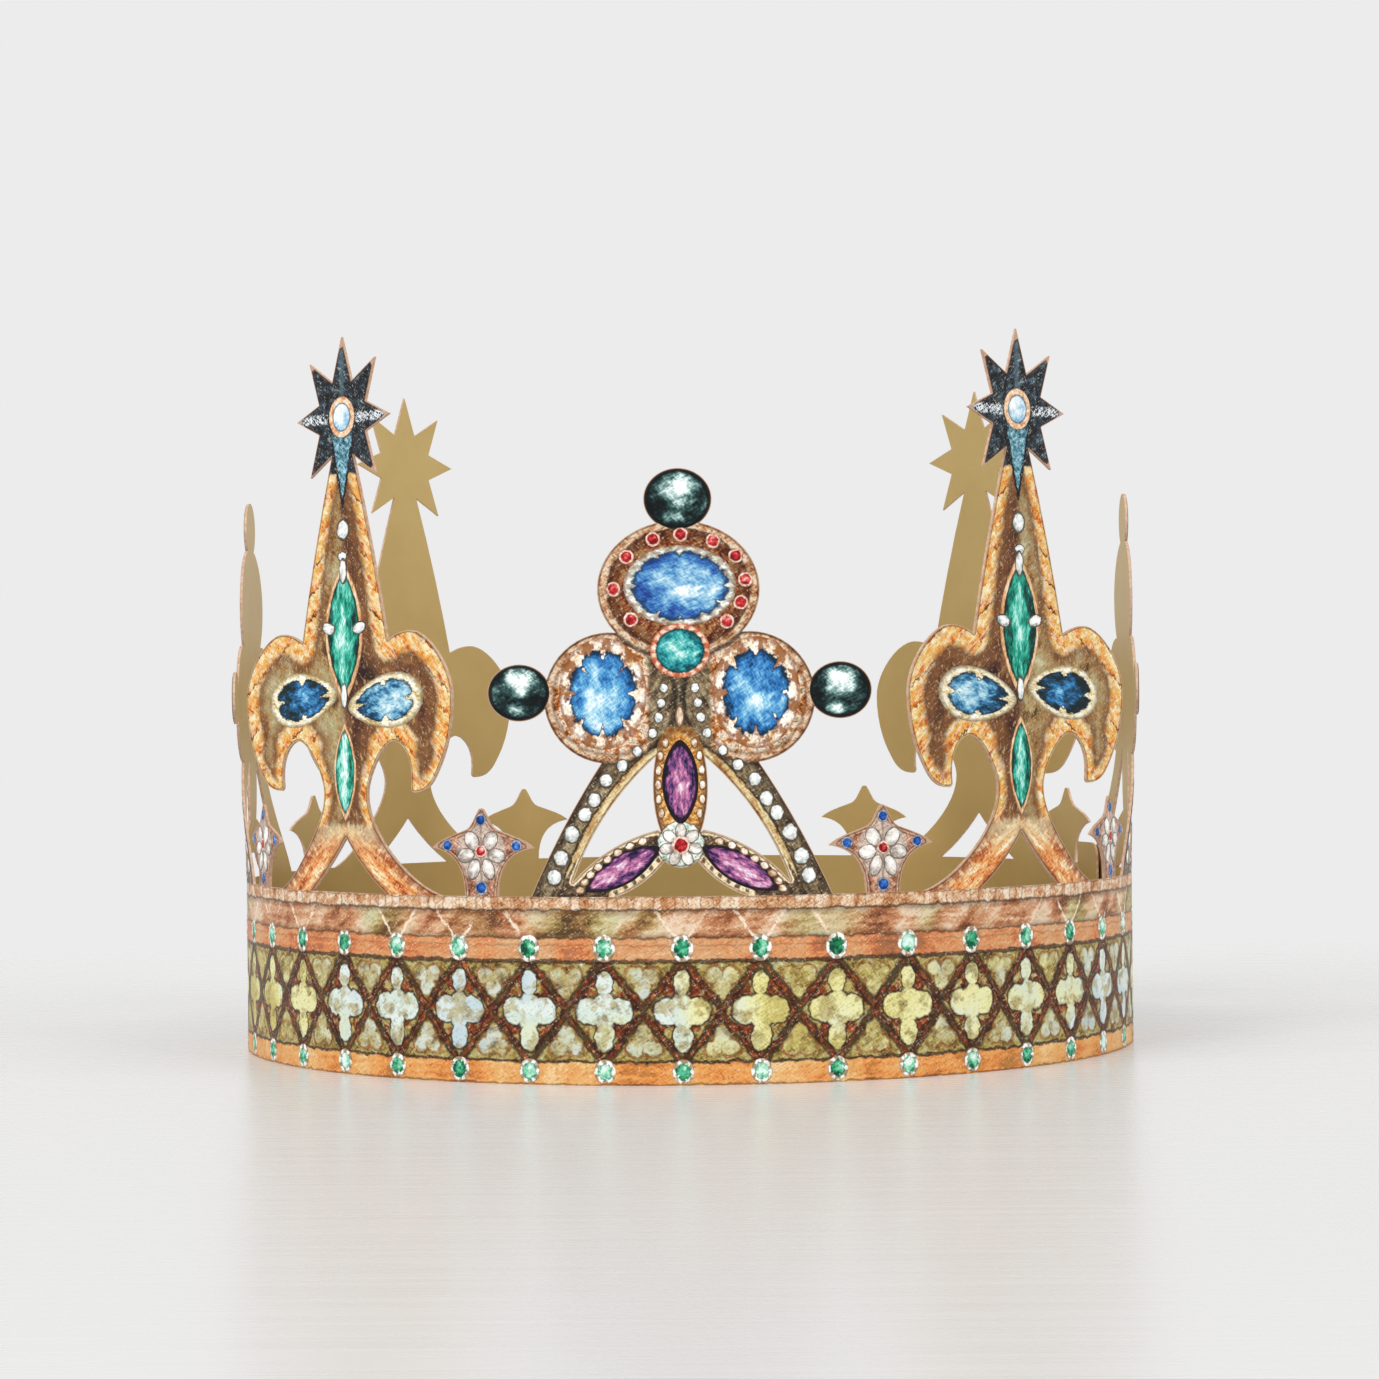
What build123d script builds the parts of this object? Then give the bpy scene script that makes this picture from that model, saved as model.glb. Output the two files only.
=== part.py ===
from build123d import *
import math
import os

# Paper crown: one strip of printed card, cut out along its top edge and locked into a standing ring.
# All sizes are in millimetres. The ring stands on z = 0 round the Z axis, with its front at -Y.
# Angles go round the ring from the front, towards +X. An ornament is drawn flat, as it lies on the sheet:
# across from its own middle, and up from the top edge of the band. A heading is the way an edge runs there,
# in degrees from straight across.

# The sheet and the ring
CARD = 0.5
RING_DIAMETER = 180.0
BAND_HEIGHT = 34.0

# Where the ornaments stand, in degrees from the front. No ornament stands at the back.
ARCH_ANGLES = (0.0, 90.0, -90.0)
FLEUR_ANGLES = (44.5, -44.5, 134.7, -134.7)
SPRIG_ANGLES = (23.9, -23.9, 66.3, -66.3, -114.4, 154.3, -154.3)

# Tall fleur: tapering shaft with a star on its tip
STAR_HEIGHT = 89.0
STAR_WIDTH = 27.2
STAR_LENGTH = 30.6
STAR_CORE = 14.8
STAR_POINTS = 8
SHAFT_TIP_WIDTH = 1.6
SHAFT_WIDTH = 25.2
SHAFT_SWELL = 0.6

# Tall fleur: side lobes, each curling round to a hook
SHOULDER_HEIGHT = 47.1
SHOULDER_HEADING = 28.0
CREST_SPACING = 37.4
CREST_HEIGHT = 48.8
FLEUR_WIDTH = 60.8
FLEUR_WIDEST_HEIGHT = 36.3
CHEEK_SPACING = 54.0
CHEEK_HEIGHT = 24.0
CHEEK_HEADING = 237.0
HOOK_GAP = 37.8
HOOK_HEIGHT = 18.9
HOOK_TIP = 1.8
HOOK_HEADING = 80.0
HOLLOW_SPACING = 28.2
HOLLOW_HEIGHT = 28.4

# Tall fleur: stem and split foot
STEM_WIDTH = 12.8
STEM_HEIGHT = 18.4
ANKLE_WIDTH = 26.8
ANKLE_HEIGHT = 6.6
ANKLE_HEADING = -44.0
FLEUR_FOOT_WIDTH = 47.0
FLEUR_FOOT_HEADING = -18.0
FLEUR_FOOT_GAP = 21.8
FLEUR_CROTCH_HEIGHT = 10.3
FLEUR_CROTCH_BOW = 0.5

# Arched ornament: three lobes round a collet, with an orb on each lobe. A drop is how far below the middle
# of the top lobe a thing lies.
TOP_LOBE_WIDTH = 29.3
TOP_LOBE_LENGTH = 24.8
TOP_LOBE_HEIGHT = 55.3
SIDE_LOBE_DIAMETER = 23.7
SIDE_LOBE_SPACING = 25.2
SIDE_LOBE_DROP = 19.5
COLLET_DIAMETER = 13.0
COLLET_DROP = 11.8
TOP_ORB_WIDTH = 12.3
TOP_ORB_LENGTH = 11.2
SIDE_ORB_WIDTH = 11.4
SIDE_ORB_LENGTH = 10.3
SIDE_ORB_RISE = 1.1
TOP_ORB_SEAT = 1.8
SIDE_ORB_SEAT = 1.2

# Arched ornament: two legs, a rosette with two leaves between them, and a pendant. The pendant rises above
# the place where the legs meet, and its tip sinks below the middle of the rosette.
LEG_TOP_WIDTH = 28.4
LEG_TOP_DROP = 31.2
LEG_OUTER_BOW = 0.6
LEG_APEX_WIDTH = 8.5
LEG_APEX_DROP = 30.0
LEG_INNER_BOW = 1.8
ARCH_FOOT_WIDTH = 54.6
ARCH_SILL_WIDTH = 39.2
ARCH_SILL_HEIGHT = 2.7
PENDANT_WIDTH = 9.9
PENDANT_RISE = 6.5
PENDANT_SINK = 1.5
ROSETTE_DIAMETER = 8.3
ROSETTE_HEIGHT = 9.3
LEAF_ROOT_HEIGHT = 12.0
LEAF_UPPER_BOW = 1.4
LEAF_LOWER_BOW = 0.8
LEAF_FOOT_GAP = 23.4

# Small sprig: rounded tip, two pointed barbs and a stem
SPRIG_HEIGHT = 16.0
SPRIG_TIP_RADIUS = 0.7
SPRIG_TIP_HEADING = -55.0
SPRIG_NECK_WIDTH = 6.8
SPRIG_NECK_HEIGHT = 12.0
SPRIG_NECK_HEADING = -20.0
SPRIG_WIDTH = 21.0
SPRIG_BARB_HEIGHT = 8.8
SPRIG_BARB_HEADING = -42.0
SPRIG_UNDERSIDE_HEADING = 187.0
SPRIG_STEM_WIDTH = 6.8

# How far up the tall ornaments spring flatter than the band, and the bend that is left in them there
FLEUR_FLAT_HEIGHT = 16.0
FLEUR_FLAT_RADIUS = 1500.0
ARCH_FLAT_HEIGHT = 28.0
ARCH_FLAT_RADIUS = 400.0
FLATTENING_STEPS = 4

# Lock: the two ends cross through slits cut halfway from opposite edges, and their tails spring inside
LOCK_ANGLE = 112.1
SLIT_WIDTH = 2.4
SLIT_PLAY = 0.3
CROSSING_ANGLE = 22.0
LOCK_BEND_RADIUS = 4.0
TAIL_KNEE = 1.5
TAIL_RETURN_ANGLE = 17.0
TAIL_LENGTH = 9.5
TAIL_CORNER_RADIUS = 3.0
TAIL_RISE = 4.6
LOCK_SPRIG_MARGIN = 0.1

RING_RADIUS = RING_DIAMETER / 2


def heading(degrees):
    """Unit step along a heading."""
    return (math.cos(math.radians(degrees)), math.sin(math.radians(degrees)))


def both_sides(half):
    """Filled outline from its right half."""
    return make_face(half + mirror(half, about=Plane.YZ))


def star_outline():
    """Pointed star: long rays reach an oval, and the notches between them reach a round core."""
    steps = 2 * STAR_POINTS
    corners = []
    for step in range(steps):
        angle = math.radians(90 + 360 * step / steps)
        across, up = (STAR_CORE, STAR_CORE) if step % 2 else (STAR_WIDTH, STAR_LENGTH)
        corners.append((across / 2 * math.cos(angle), STAR_HEIGHT + up / 2 * math.sin(angle)))
    return make_face(Polyline(*corners, close=True))


def fleur_outline():
    """Tall fleur: star on a tapering shaft, two side lobes that end in hooks, and a split foot."""
    shaft_tip = (SHAFT_TIP_WIDTH / 2, STAR_HEIGHT)
    shoulder = (SHAFT_WIDTH / 2, SHOULDER_HEIGHT)
    crest = (CREST_SPACING / 2, CREST_HEIGHT)
    widest = (FLEUR_WIDTH / 2, FLEUR_WIDEST_HEIGHT)
    cheek = (CHEEK_SPACING / 2, CHEEK_HEIGHT)
    hook_outer = (HOOK_GAP / 2 + HOOK_TIP / 2, HOOK_HEIGHT)
    hook_inner = (HOOK_GAP / 2, HOOK_HEIGHT + HOOK_TIP / 2)
    hollow = (HOLLOW_SPACING / 2, HOLLOW_HEIGHT)
    waist = (STEM_WIDTH / 2, STEM_HEIGHT)
    ankle = (ANKLE_WIDTH / 2, ANKLE_HEIGHT)
    foot_outer = (FLEUR_FOOT_WIDTH / 2, 0)
    foot_inner = (FLEUR_FOOT_GAP / 2, 0)
    crotch = (0, FLEUR_CROTCH_HEIGHT)

    half = Line((0, STAR_HEIGHT), shaft_tip)
    half += SagittaArc(shaft_tip, shoulder, SHAFT_SWELL)
    half += Spline(
        (shoulder, crest, widest, cheek, hook_outer),
        tangents=(heading(SHOULDER_HEADING), heading(0), heading(270), heading(CHEEK_HEADING), heading(180)),
    )
    half += RadiusArc(hook_outer, hook_inner, HOOK_TIP / 2)
    half += Spline(
        (hook_inner, hollow, waist, ankle, foot_outer),
        tangents=(
            heading(HOOK_HEADING),
            heading(180),
            heading(270),
            heading(ANKLE_HEADING),
            heading(FLEUR_FOOT_HEADING),
        ),
    )
    half += Line(foot_outer, foot_inner)
    half += SagittaArc(foot_inner, crotch, FLEUR_CROTCH_BOW)
    return both_sides(half) + star_outline()


def arch_outline():
    """Arched ornament: lobes and orbs at the top, and legs, pendant, rosette and leaves below them."""
    top_orb_height = TOP_LOBE_HEIGHT + (TOP_LOBE_LENGTH + TOP_ORB_LENGTH) / 2 - TOP_ORB_SEAT
    side_lobe_height = TOP_LOBE_HEIGHT - SIDE_LOBE_DROP
    collet_height = TOP_LOBE_HEIGHT - COLLET_DROP
    apex_height = TOP_LOBE_HEIGHT - LEG_APEX_DROP
    pendant_top = apex_height + PENDANT_RISE
    pendant_tip = ROSETTE_HEIGHT - PENDANT_SINK
    pendant_middle = (pendant_top + pendant_tip) / 2

    middle = Pos(0, TOP_LOBE_HEIGHT) * Ellipse(TOP_LOBE_WIDTH / 2, TOP_LOBE_LENGTH / 2)
    middle += Pos(0, top_orb_height) * Ellipse(TOP_ORB_WIDTH / 2, TOP_ORB_LENGTH / 2)
    middle += Pos(0, collet_height) * Circle(COLLET_DIAMETER / 2)
    middle += Pos(0, pendant_middle) * Ellipse(PENDANT_WIDTH / 2, (pendant_top - pendant_tip) / 2)
    middle += Pos(0, ROSETTE_HEIGHT) * Circle(ROSETTE_DIAMETER / 2)

    lobe_centre = (SIDE_LOBE_SPACING / 2, side_lobe_height)
    rosette_slant = ROSETTE_DIAMETER / 2 * math.sqrt(0.5)
    leg_top = (LEG_TOP_WIDTH / 2, TOP_LOBE_HEIGHT - LEG_TOP_DROP)
    leg_apex = (LEG_APEX_WIDTH / 2, apex_height)
    foot_outer = (ARCH_FOOT_WIDTH / 2, 0)
    leaf_foot = (LEAF_FOOT_GAP / 2, 0)
    leaf_under = (rosette_slant, ROSETTE_HEIGHT - rosette_slant)
    leaf_root = (ROSETTE_DIAMETER / 2, LEAF_ROOT_HEIGHT)
    sill = (ARCH_SILL_WIDTH / 2, ARCH_SILL_HEIGHT)

    leg = SagittaArc(leg_top, foot_outer, LEG_OUTER_BOW)
    leg += Line(foot_outer, leaf_foot)
    leg += SagittaArc(leaf_foot, leaf_under, LEAF_LOWER_BOW)
    leg += Polyline(leaf_under, (0, ROSETTE_HEIGHT), leaf_root)
    leg += SagittaArc(leaf_root, sill, LEAF_UPPER_BOW)
    leg += SagittaArc(sill, leg_apex, -LEG_INNER_BOW)
    leg += Polyline(leg_apex, (0, apex_height), (0, collet_height), lobe_centre, leg_top)

    orb_x = (SIDE_LOBE_SPACING + SIDE_LOBE_DIAMETER + SIDE_ORB_WIDTH) / 2 - SIDE_ORB_SEAT
    side = make_face(leg) + Pos(*lobe_centre) * Circle(SIDE_LOBE_DIAMETER / 2)
    side += Pos(orb_x, side_lobe_height + SIDE_ORB_RISE) * Ellipse(SIDE_ORB_WIDTH / 2, SIDE_ORB_LENGTH / 2)
    return middle + side + mirror(side, about=Plane.YZ)


def sprig_outline():
    """Small sprig: rounded tip, two pointed barbs and a straight stem."""
    tip_slant = SPRIG_TIP_RADIUS * math.sqrt(0.5)
    tip_side = (tip_slant, SPRIG_HEIGHT - SPRIG_TIP_RADIUS + tip_slant)
    neck = (SPRIG_NECK_WIDTH / 2, SPRIG_NECK_HEIGHT)
    barb = (SPRIG_WIDTH / 2, SPRIG_BARB_HEIGHT)
    stem = (SPRIG_STEM_WIDTH / 2, 0)

    half = RadiusArc((0, SPRIG_HEIGHT), tip_side, SPRIG_TIP_RADIUS)
    half += Spline(
        (tip_side, neck, barb),
        tangents=(heading(SPRIG_TIP_HEADING), heading(SPRIG_NECK_HEADING), heading(SPRIG_BARB_HEADING)),
    )
    half += Spline((barb, stem), tangents=(heading(SPRIG_UNDERSIDE_HEADING), heading(270)))
    half += Line(stem, (0, 0))
    return both_sides(half)


def sheet_section(radius, half_width, height):
    """Cut across the card at one height: bent to the given radius, and on the ring at its middle."""
    sweep_angle = math.degrees(math.asin(half_width / radius))
    centre = (0, radius - RING_RADIUS)
    outer = CenterArc(centre, radius + CARD / 2, 270 - sweep_angle, 2 * sweep_angle)
    inner = CenterArc(centre, radius - CARD / 2, 270 - sweep_angle, 2 * sweep_angle)
    edges = outer + Line(outer @ 1, inner @ 1) + inner + Line(inner @ 0, outer @ 0)
    return Pos(0, 0, height) * make_face(edges)


def round_sheet(half_width, top):
    """Card above the band that keeps the band's own bend."""
    return extrude(sheet_section(RING_RADIUS, half_width, BAND_HEIGHT), amount=top)


def flattening_sheet(half_width, top, flat_height, flat_radius):
    """Card above the band that leaves it round and springs flatter up to flat_height."""
    sections = []
    for step in range(FLATTENING_STEPS + 1):
        share = step / FLATTENING_STEPS
        eased = share * share * (3 - 2 * share)
        bend = (1 - eased) / RING_RADIUS + eased / flat_radius
        sections.append(sheet_section(1 / bend, half_width, BAND_HEIGHT + share * flat_height))
    return loft(sections) + extrude(sections[-1], amount=top - flat_height)


def cut_out(outline, sheet):
    """Sheet at the front of the ring, trimmed to an outline as the cutting die leaves it."""
    die_start = Plane.XZ.offset(RING_RADIUS / 2)
    die = extrude(die_start * Pos(0, BAND_HEIGHT) * outline, amount=RING_RADIUS)
    return sheet & die


def tall_ornament(outline, flat_height, flat_radius):
    """Ornament at the front of the ring that is tall enough to spring flatter than the band."""
    reach = outline.bounding_box().max
    return cut_out(outline, flattening_sheet(reach.X + CARD, reach.Y + CARD, flat_height, flat_radius))


def low_ornament(outline):
    """Ornament at the front of the ring that keeps the band's own bend."""
    reach = outline.bounding_box().max
    return cut_out(outline, round_sheet(reach.X + CARD, reach.Y + CARD))


def card_along(path, bottom, top):
    """Card standing on edge along a path drawn in plan, between two heights."""
    start = Plane(origin=path @ 0, x_dir=(0, 0, 1), z_dir=path % 0)
    section = start * Pos(bottom, 0) * Rectangle(top - bottom, CARD, align=(Align.MIN, Align.CENTER))
    return sweep(section, path)


def lock_bend_start():
    """Angle from the lock at which each end leaves the circle, so that they cross just inside it."""
    inward = LOCK_BEND_RADIUS * math.sin(math.radians(CROSSING_ANGLE))
    return math.degrees(math.asin(inward / (RING_RADIUS - LOCK_BEND_RADIUS)))


def band():
    """Ring of the band, open at the front where the two ends lock."""
    half_gap = lock_bend_start()
    return card_along(CenterArc((0, 0), RING_RADIUS, 270 + half_gap, 360 - 2 * half_gap), 0, BAND_HEIGHT)


def strip_end(bridge_bottom, bridge_top, tail_top):
    """One end of the strip at the front of the ring: it bends inward, and a tail follows its slit.

    The bridge is the card that is left above or below the slit.
    """
    ring_end = CenterArc((0, 0), RING_RADIUS, 270 - lock_bend_start(), lock_bend_start())
    bend = JernArc(ring_end @ 0, ring_end % 0, LOCK_BEND_RADIUS, CROSSING_ANGLE + lock_bend_start())
    knee = Line(bend @ 1, bend @ 1 + TAIL_KNEE * (bend % 1))
    back = JernArc(knee @ 1, knee % 1, LOCK_BEND_RADIUS, -TAIL_RETURN_ANGLE)
    flat = Line(back @ 1, back @ 1 + TAIL_LENGTH * (back % 1))
    path = Wire([bend, knee, back, flat])

    slit_start = (bend.length - SLIT_WIDTH / 2) / path.length
    slit_end = (bend.length + SLIT_WIDTH / 2) / path.length
    root = card_along(path.trim(0, slit_start), 0, BAND_HEIGHT)
    bridge = card_along(path.trim(slit_start, slit_end), bridge_bottom, bridge_top)
    tail = card_along(path.trim(slit_end, 1), 0, tail_top)
    free_corners = tail.faces().sort_by(Axis.X)[-1].edges().sort_by(SortBy.LENGTH)[:2]
    return root + bridge + tail.fillet(TAIL_CORNER_RADIUS, free_corners)


def crown_strip():
    """The whole strip: band, both locking ends and every ornament, cut from one sheet."""
    slit_top = (BAND_HEIGHT + SLIT_PLAY) / 2
    slit_bottom = (BAND_HEIGHT - SLIT_PLAY) / 2
    end_over = strip_end(slit_top, BAND_HEIGHT, BAND_HEIGHT)
    end_under = mirror(strip_end(0, slit_bottom, BAND_HEIGHT + TAIL_RISE), about=Plane.YZ)
    strip = Rot(0, 0, LOCK_ANGLE) * (band() + end_over + end_under)

    stem_half_angle = math.degrees((SPRIG_STEM_WIDTH / 2 + LOCK_SPRIG_MARGIN) / RING_RADIUS)
    lock_sprig_angle = LOCK_ANGLE + lock_bend_start() + stem_half_angle
    fleur = tall_ornament(fleur_outline(), FLEUR_FLAT_HEIGHT, FLEUR_FLAT_RADIUS)
    arch = tall_ornament(arch_outline(), ARCH_FLAT_HEIGHT, ARCH_FLAT_RADIUS)
    sprig = low_ornament(sprig_outline())
    placed = ((fleur, FLEUR_ANGLES), (arch, ARCH_ANGLES), (sprig, (*SPRIG_ANGLES, lock_sprig_angle)))
    for ornament, angles in placed:
        strip += [Rot(0, 0, angle) * ornament for angle in angles]
    return strip


os.makedirs("parts", exist_ok=True)
export_step(crown_strip(), "parts/crown_strip.step")
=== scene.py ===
"""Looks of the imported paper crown: card with a gold back, painted print, table, lamps and camera."""

import logging
import math
from dataclasses import astuple, dataclass, field, replace
from enum import Enum
from typing import Optional, Union

import bpy
import numpy as np
from mathutils import Matrix, Vector
from mathutils.geometry import delaunay_2d_cdt


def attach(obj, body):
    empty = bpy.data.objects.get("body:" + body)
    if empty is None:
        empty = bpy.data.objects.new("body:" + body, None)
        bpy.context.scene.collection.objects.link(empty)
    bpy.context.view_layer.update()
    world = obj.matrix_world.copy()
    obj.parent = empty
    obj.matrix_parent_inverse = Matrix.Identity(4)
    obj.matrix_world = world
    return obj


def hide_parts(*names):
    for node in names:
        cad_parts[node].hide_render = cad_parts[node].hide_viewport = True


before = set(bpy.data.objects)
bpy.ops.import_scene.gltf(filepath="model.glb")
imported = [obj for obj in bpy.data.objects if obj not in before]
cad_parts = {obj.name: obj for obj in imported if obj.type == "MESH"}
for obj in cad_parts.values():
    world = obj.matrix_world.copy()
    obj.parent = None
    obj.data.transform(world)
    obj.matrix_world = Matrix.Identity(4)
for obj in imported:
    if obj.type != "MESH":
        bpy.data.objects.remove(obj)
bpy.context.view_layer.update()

log = logging.getLogger("paper_crown")

MM = 0.001
NODE = "crown_strip"
SHEET_MAP = "sheet"
STONE_MAP = "stone"
EDGE = "edge"
SEED = "seed"
RING_RADIUS = 90.0
BAND_HEIGHT = 34.0
CARD = 0.5
STONES_ROUND = 40
PRINT_ROUGHNESS = 0.42
PRINT_SPECULAR = 0.15

Number = Union[int, float, "Value"]
Socket = bpy.types.NodeSocket
Array = np.ndarray
Ink = Union[str, Socket]


def ink(code: str) -> tuple[float, ...]:
    """Colour as the shaders want it, from a six-digit code as it looks on screen.

    Args:
        code: Red, green and blue in two hexadecimal digits each.

    Returns:
        Linear red, green, blue, and an opaque fourth value.
    """
    shares = [int(code[i : i + 2], 16) / 255 for i in (0, 2, 4)]
    return tuple(s / 12.92 if s <= 0.04045 else ((s + 0.055) / 1.055) ** 2.4 for s in shares) + (1.0,)


class Value:
    """A number that varies over a surface. Sums written with it add Math nodes to its material."""

    def __init__(self, paint: "Paint", socket: Socket) -> None:
        """Wraps a node's output, in the material that it belongs to."""
        self.paint = paint
        self.socket = socket

    def __add__(self, other: Number) -> "Value":
        """Sum."""
        return self.paint.maths("ADD", self, other)

    def __sub__(self, other: Number) -> "Value":
        """Difference."""
        return self.paint.maths("SUBTRACT", self, other)

    def __rsub__(self, other: Number) -> "Value":
        """Difference from a number."""
        return self.paint.maths("SUBTRACT", other, self)

    def __mul__(self, other: Number) -> "Value":
        """Product."""
        return self.paint.maths("MULTIPLY", self, other)

    def __truediv__(self, other: Number) -> "Value":
        """Quotient."""
        return self.paint.maths("DIVIDE", self, other)

    def __pow__(self, other: Number) -> "Value":
        """Power."""
        return self.paint.maths("POWER", self, other)

    def __abs__(self) -> "Value":
        """Size without its sign."""
        return self.paint.maths("ABSOLUTE", self)

    __radd__ = __add__
    __rmul__ = __mul__

    def at_least(self, least: float) -> "Value":
        """The value, or least where the value is under it."""
        return self.paint.maths("MAXIMUM", self, least)

    def eased(self, start: float, end: float) -> "Value":
        """Goes softly from 0, where the value is start, to 1, where it is end."""
        inputs = {"Value": self, "From Min": start, "From Max": end}
        return self.paint.value("ShaderNodeMapRange", {"interpolation_type": "SMOOTHSTEP"}, inputs, "Result")

    def below(self, edge: float, soft: float) -> "Value":
        """Mask that is 1 where the value is under edge, and eases to 0 over twice soft."""
        return self.eased(edge + soft, edge - soft)

    def above(self, edge: float, soft: float) -> "Value":
        """Mask that is 1 where the value is over edge."""
        return self.eased(edge - soft, edge + soft)

    def near(self, place: float, half: float, soft: float) -> "Value":
        """Mask that is 1 where the value is within half of place."""
        return abs(self - place).below(half, soft)


class Nodes:
    """A node tree, with one way to make any node."""

    def __init__(self, tree: bpy.types.NodeTree) -> None:
        """Empties a tree to build in."""
        self.tree = tree
        self.tree.nodes.clear()

    def feed(self, socket: Socket, value: object) -> None:
        """Links a socket, or sets a constant on it.

        Args:
            socket: A node's input.
            value: A value or socket to link, a number or vector, or the six-digit code of a colour.
        """
        source = value.socket if isinstance(value, Value) else value
        if isinstance(source, Socket):
            self.tree.links.new(source, socket)
        else:
            socket.default_value = ink(source) if isinstance(source, str) else source

    def node(self, kind: str, settings: dict, inputs: dict) -> bpy.types.Node:
        """Any node.

        Args:
            kind: The node's type.
            settings: The node's own settings, which are set first.
            inputs: Values or links by the sockets' names or numbers.

        Returns:
            The node.
        """
        made = self.tree.nodes.new(kind)
        for name, value in settings.items():
            setattr(made, name, value)
        for name, value in inputs.items():
            self.feed(made.inputs[name], value)
        return made


class Paint(Nodes):
    """A material whose nodes are written as expressions."""

    def __init__(self, name: str, roughness: float = 0.5, specular: float = 0.5) -> None:
        """Starts a material with one Principled shader.

        Args:
            name: The material's name.
            roughness: How matt it is, until a value that varies is fed there.
            specular: Specular level, the same all over.
        """
        self.material = bpy.data.materials.new(name)
        self.material.use_nodes = True
        super().__init__(self.material.node_tree)
        constants = {"Roughness": roughness, "Specular IOR Level": specular}
        self.shader = self.node("ShaderNodeBsdfPrincipled", {}, constants)
        self.node("ShaderNodeOutputMaterial", {}, {"Surface": self.shader.outputs[0]})

    def value(self, kind: str, settings: dict, inputs: dict, output: Union[int, str] = 0) -> Value:
        """A number that comes out of any node."""
        return Value(self, self.node(kind, settings, inputs).outputs[output])

    def maths(self, operation: str, *values: Number) -> Value:
        """One Math node on numbers or values."""
        return self.value("ShaderNodeMath", {"operation": operation}, dict(enumerate(values)))

    def point(self, x: Number, y: Number, z: Number = 0.0) -> Socket:
        """A vector from its three parts."""
        return self.node("ShaderNodeCombineXYZ", {}, {"X": x, "Y": y, "Z": z}).outputs[0]

    def parts(self, vector: Socket) -> tuple[Value, Value, Value]:
        """The three parts of a vector."""
        return tuple(Value(self, o) for o in self.node("ShaderNodeSeparateXYZ", {}, {0: vector}).outputs)

    def length(self, x: Number, y: Number) -> Value:
        """Distance of (x, y) from (0, 0)."""
        return self.value("ShaderNodeVectorMath", {"operation": "LENGTH"}, {0: self.point(x, y)}, "Value")

    def mix_number(self, mask: Value, under: float, over: float) -> Value:
        """A number that goes from under to over as the mask goes from 0 to 1."""
        return mask * (over - under) + under

    def mix(self, mask: Number, under: Ink, over: Ink) -> Socket:
        """The colour over, laid on the colour under where the mask is 1."""
        return self.node("ShaderNodeMix", {"data_type": "RGBA"}, {0: mask, 6: under, 7: over}).outputs[2]

    def layers(self, ground: Ink, *coats: tuple[Number, Ink]) -> Socket:
        """Lays coats of paint on a ground in turn.

        Args:
            ground: The colour under them all.
            coats: A mask and a colour for each coat.

        Returns:
            The colour that shows.
        """
        shown = ground
        for mask, tone in coats:
            shown = self.mix(mask, shown, tone)
        return shown

    def noise(self, x: Number, y: Number, z: Number, grain: float, detail: float = 3.0) -> Value:
        """Soft random number between 0 and 1, mostly near a half.

        Args:
            x: First part of the place, in millimetres.
            y: Second part.
            z: Third part, or a seed.
            grain: Size of a blotch in millimetres.
            detail: How many finer layers it has.

        Returns:
            The number.
        """
        inputs = {"Vector": self.point(x, y, z), "Scale": 1.0 / grain, "Detail": detail, "Roughness": 0.6}
        return self.value("ShaderNodeTexNoise", {}, inputs)

    def hatching(self, x: Value, z: Value) -> Value:
        """Fine crossed brush strokes.

        Args:
            x: Across, in millimetres.
            z: Up, in millimetres.

        Returns:
            A number near a half.
        """
        one = self.noise((x + z * 0.6) / 5.0, z - x * 0.6, 2.0, 0.3, 2.0)
        two = self.noise((x - z * 0.8) / 4.0, z * 0.8 + x, 8.0, 0.26, 2.0)
        return one * 0.5 + two * 0.5

    def ramp(self, value: Value, tones: str, low: float = 0.38, high: float = 0.62) -> Socket:
        """Runs through tones, at even steps, as a value goes from low to high.

        Args:
            value: What chooses the tone.
            tones: Six-digit codes with spaces between them.
            low: Where the first tone is.
            high: Where the last tone is.

        Returns:
            The colour.
        """
        made = self.node("ShaderNodeValToRGB", {}, {"Fac": value})
        stops = made.color_ramp.elements
        colours = [ink(tone) for tone in tones.split()]
        places = np.linspace(low, high, len(colours)).tolist()
        stops[0].position, stops[1].position = places[0], places[-1]
        stops[0].color, stops[1].color = colours[0], colours[-1]
        for place, colour in zip(places[1:-1], colours[1:-1]):
            stops.new(place).color = colour
        return made.outputs["Color"]

    def body_place(self) -> tuple[Value, Value, Value]:
        """Place on the whole crown.

        Returns:
            X, Y and Z in millimetres.
        """
        place = self.node("ShaderNodeTexCoord", {}, {}).outputs["Object"]
        made = self.node("ShaderNodeVectorMath", {"operation": "SCALE"}, {0: place, "Scale": 1 / MM})
        return self.parts(made.outputs[0])

    def map_place(self, name: str) -> tuple[Value, Value]:
        """Across and up on a piece's own map."""
        uv = self.node("ShaderNodeUVMap", {"uv_map": name}, {}).outputs[0]
        return self.parts(uv)[:2]

    def attribute(self, name: str) -> Value:
        """A number kept on the piece's points."""
        return self.value("ShaderNodeAttribute", {"attribute_name": name}, {}, "Fac")

    def finish(
        self,
        colour: Ink,
        roughness: Optional[Value] = None,
        height: Optional[Value] = None,
        depth: float = 0.0,
    ) -> bpy.types.Material:
        """Feeds the shader and gives the material back.

        Args:
            colour: Base colour.
            roughness: Roughness, where it varies.
            height: Relief between 0 and 1.
            depth: The relief's depth in millimetres.

        Returns:
            The material.
        """
        self.feed(self.shader.inputs["Base Color"], colour)
        if roughness is not None:
            self.feed(self.shader.inputs["Roughness"], roughness)
        if height is not None:
            bump = self.node("ShaderNodeBump", {}, {"Height": height, "Distance": depth * MM})
            self.feed(self.shader.inputs["Normal"], bump.outputs[0])
        return self.material


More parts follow.
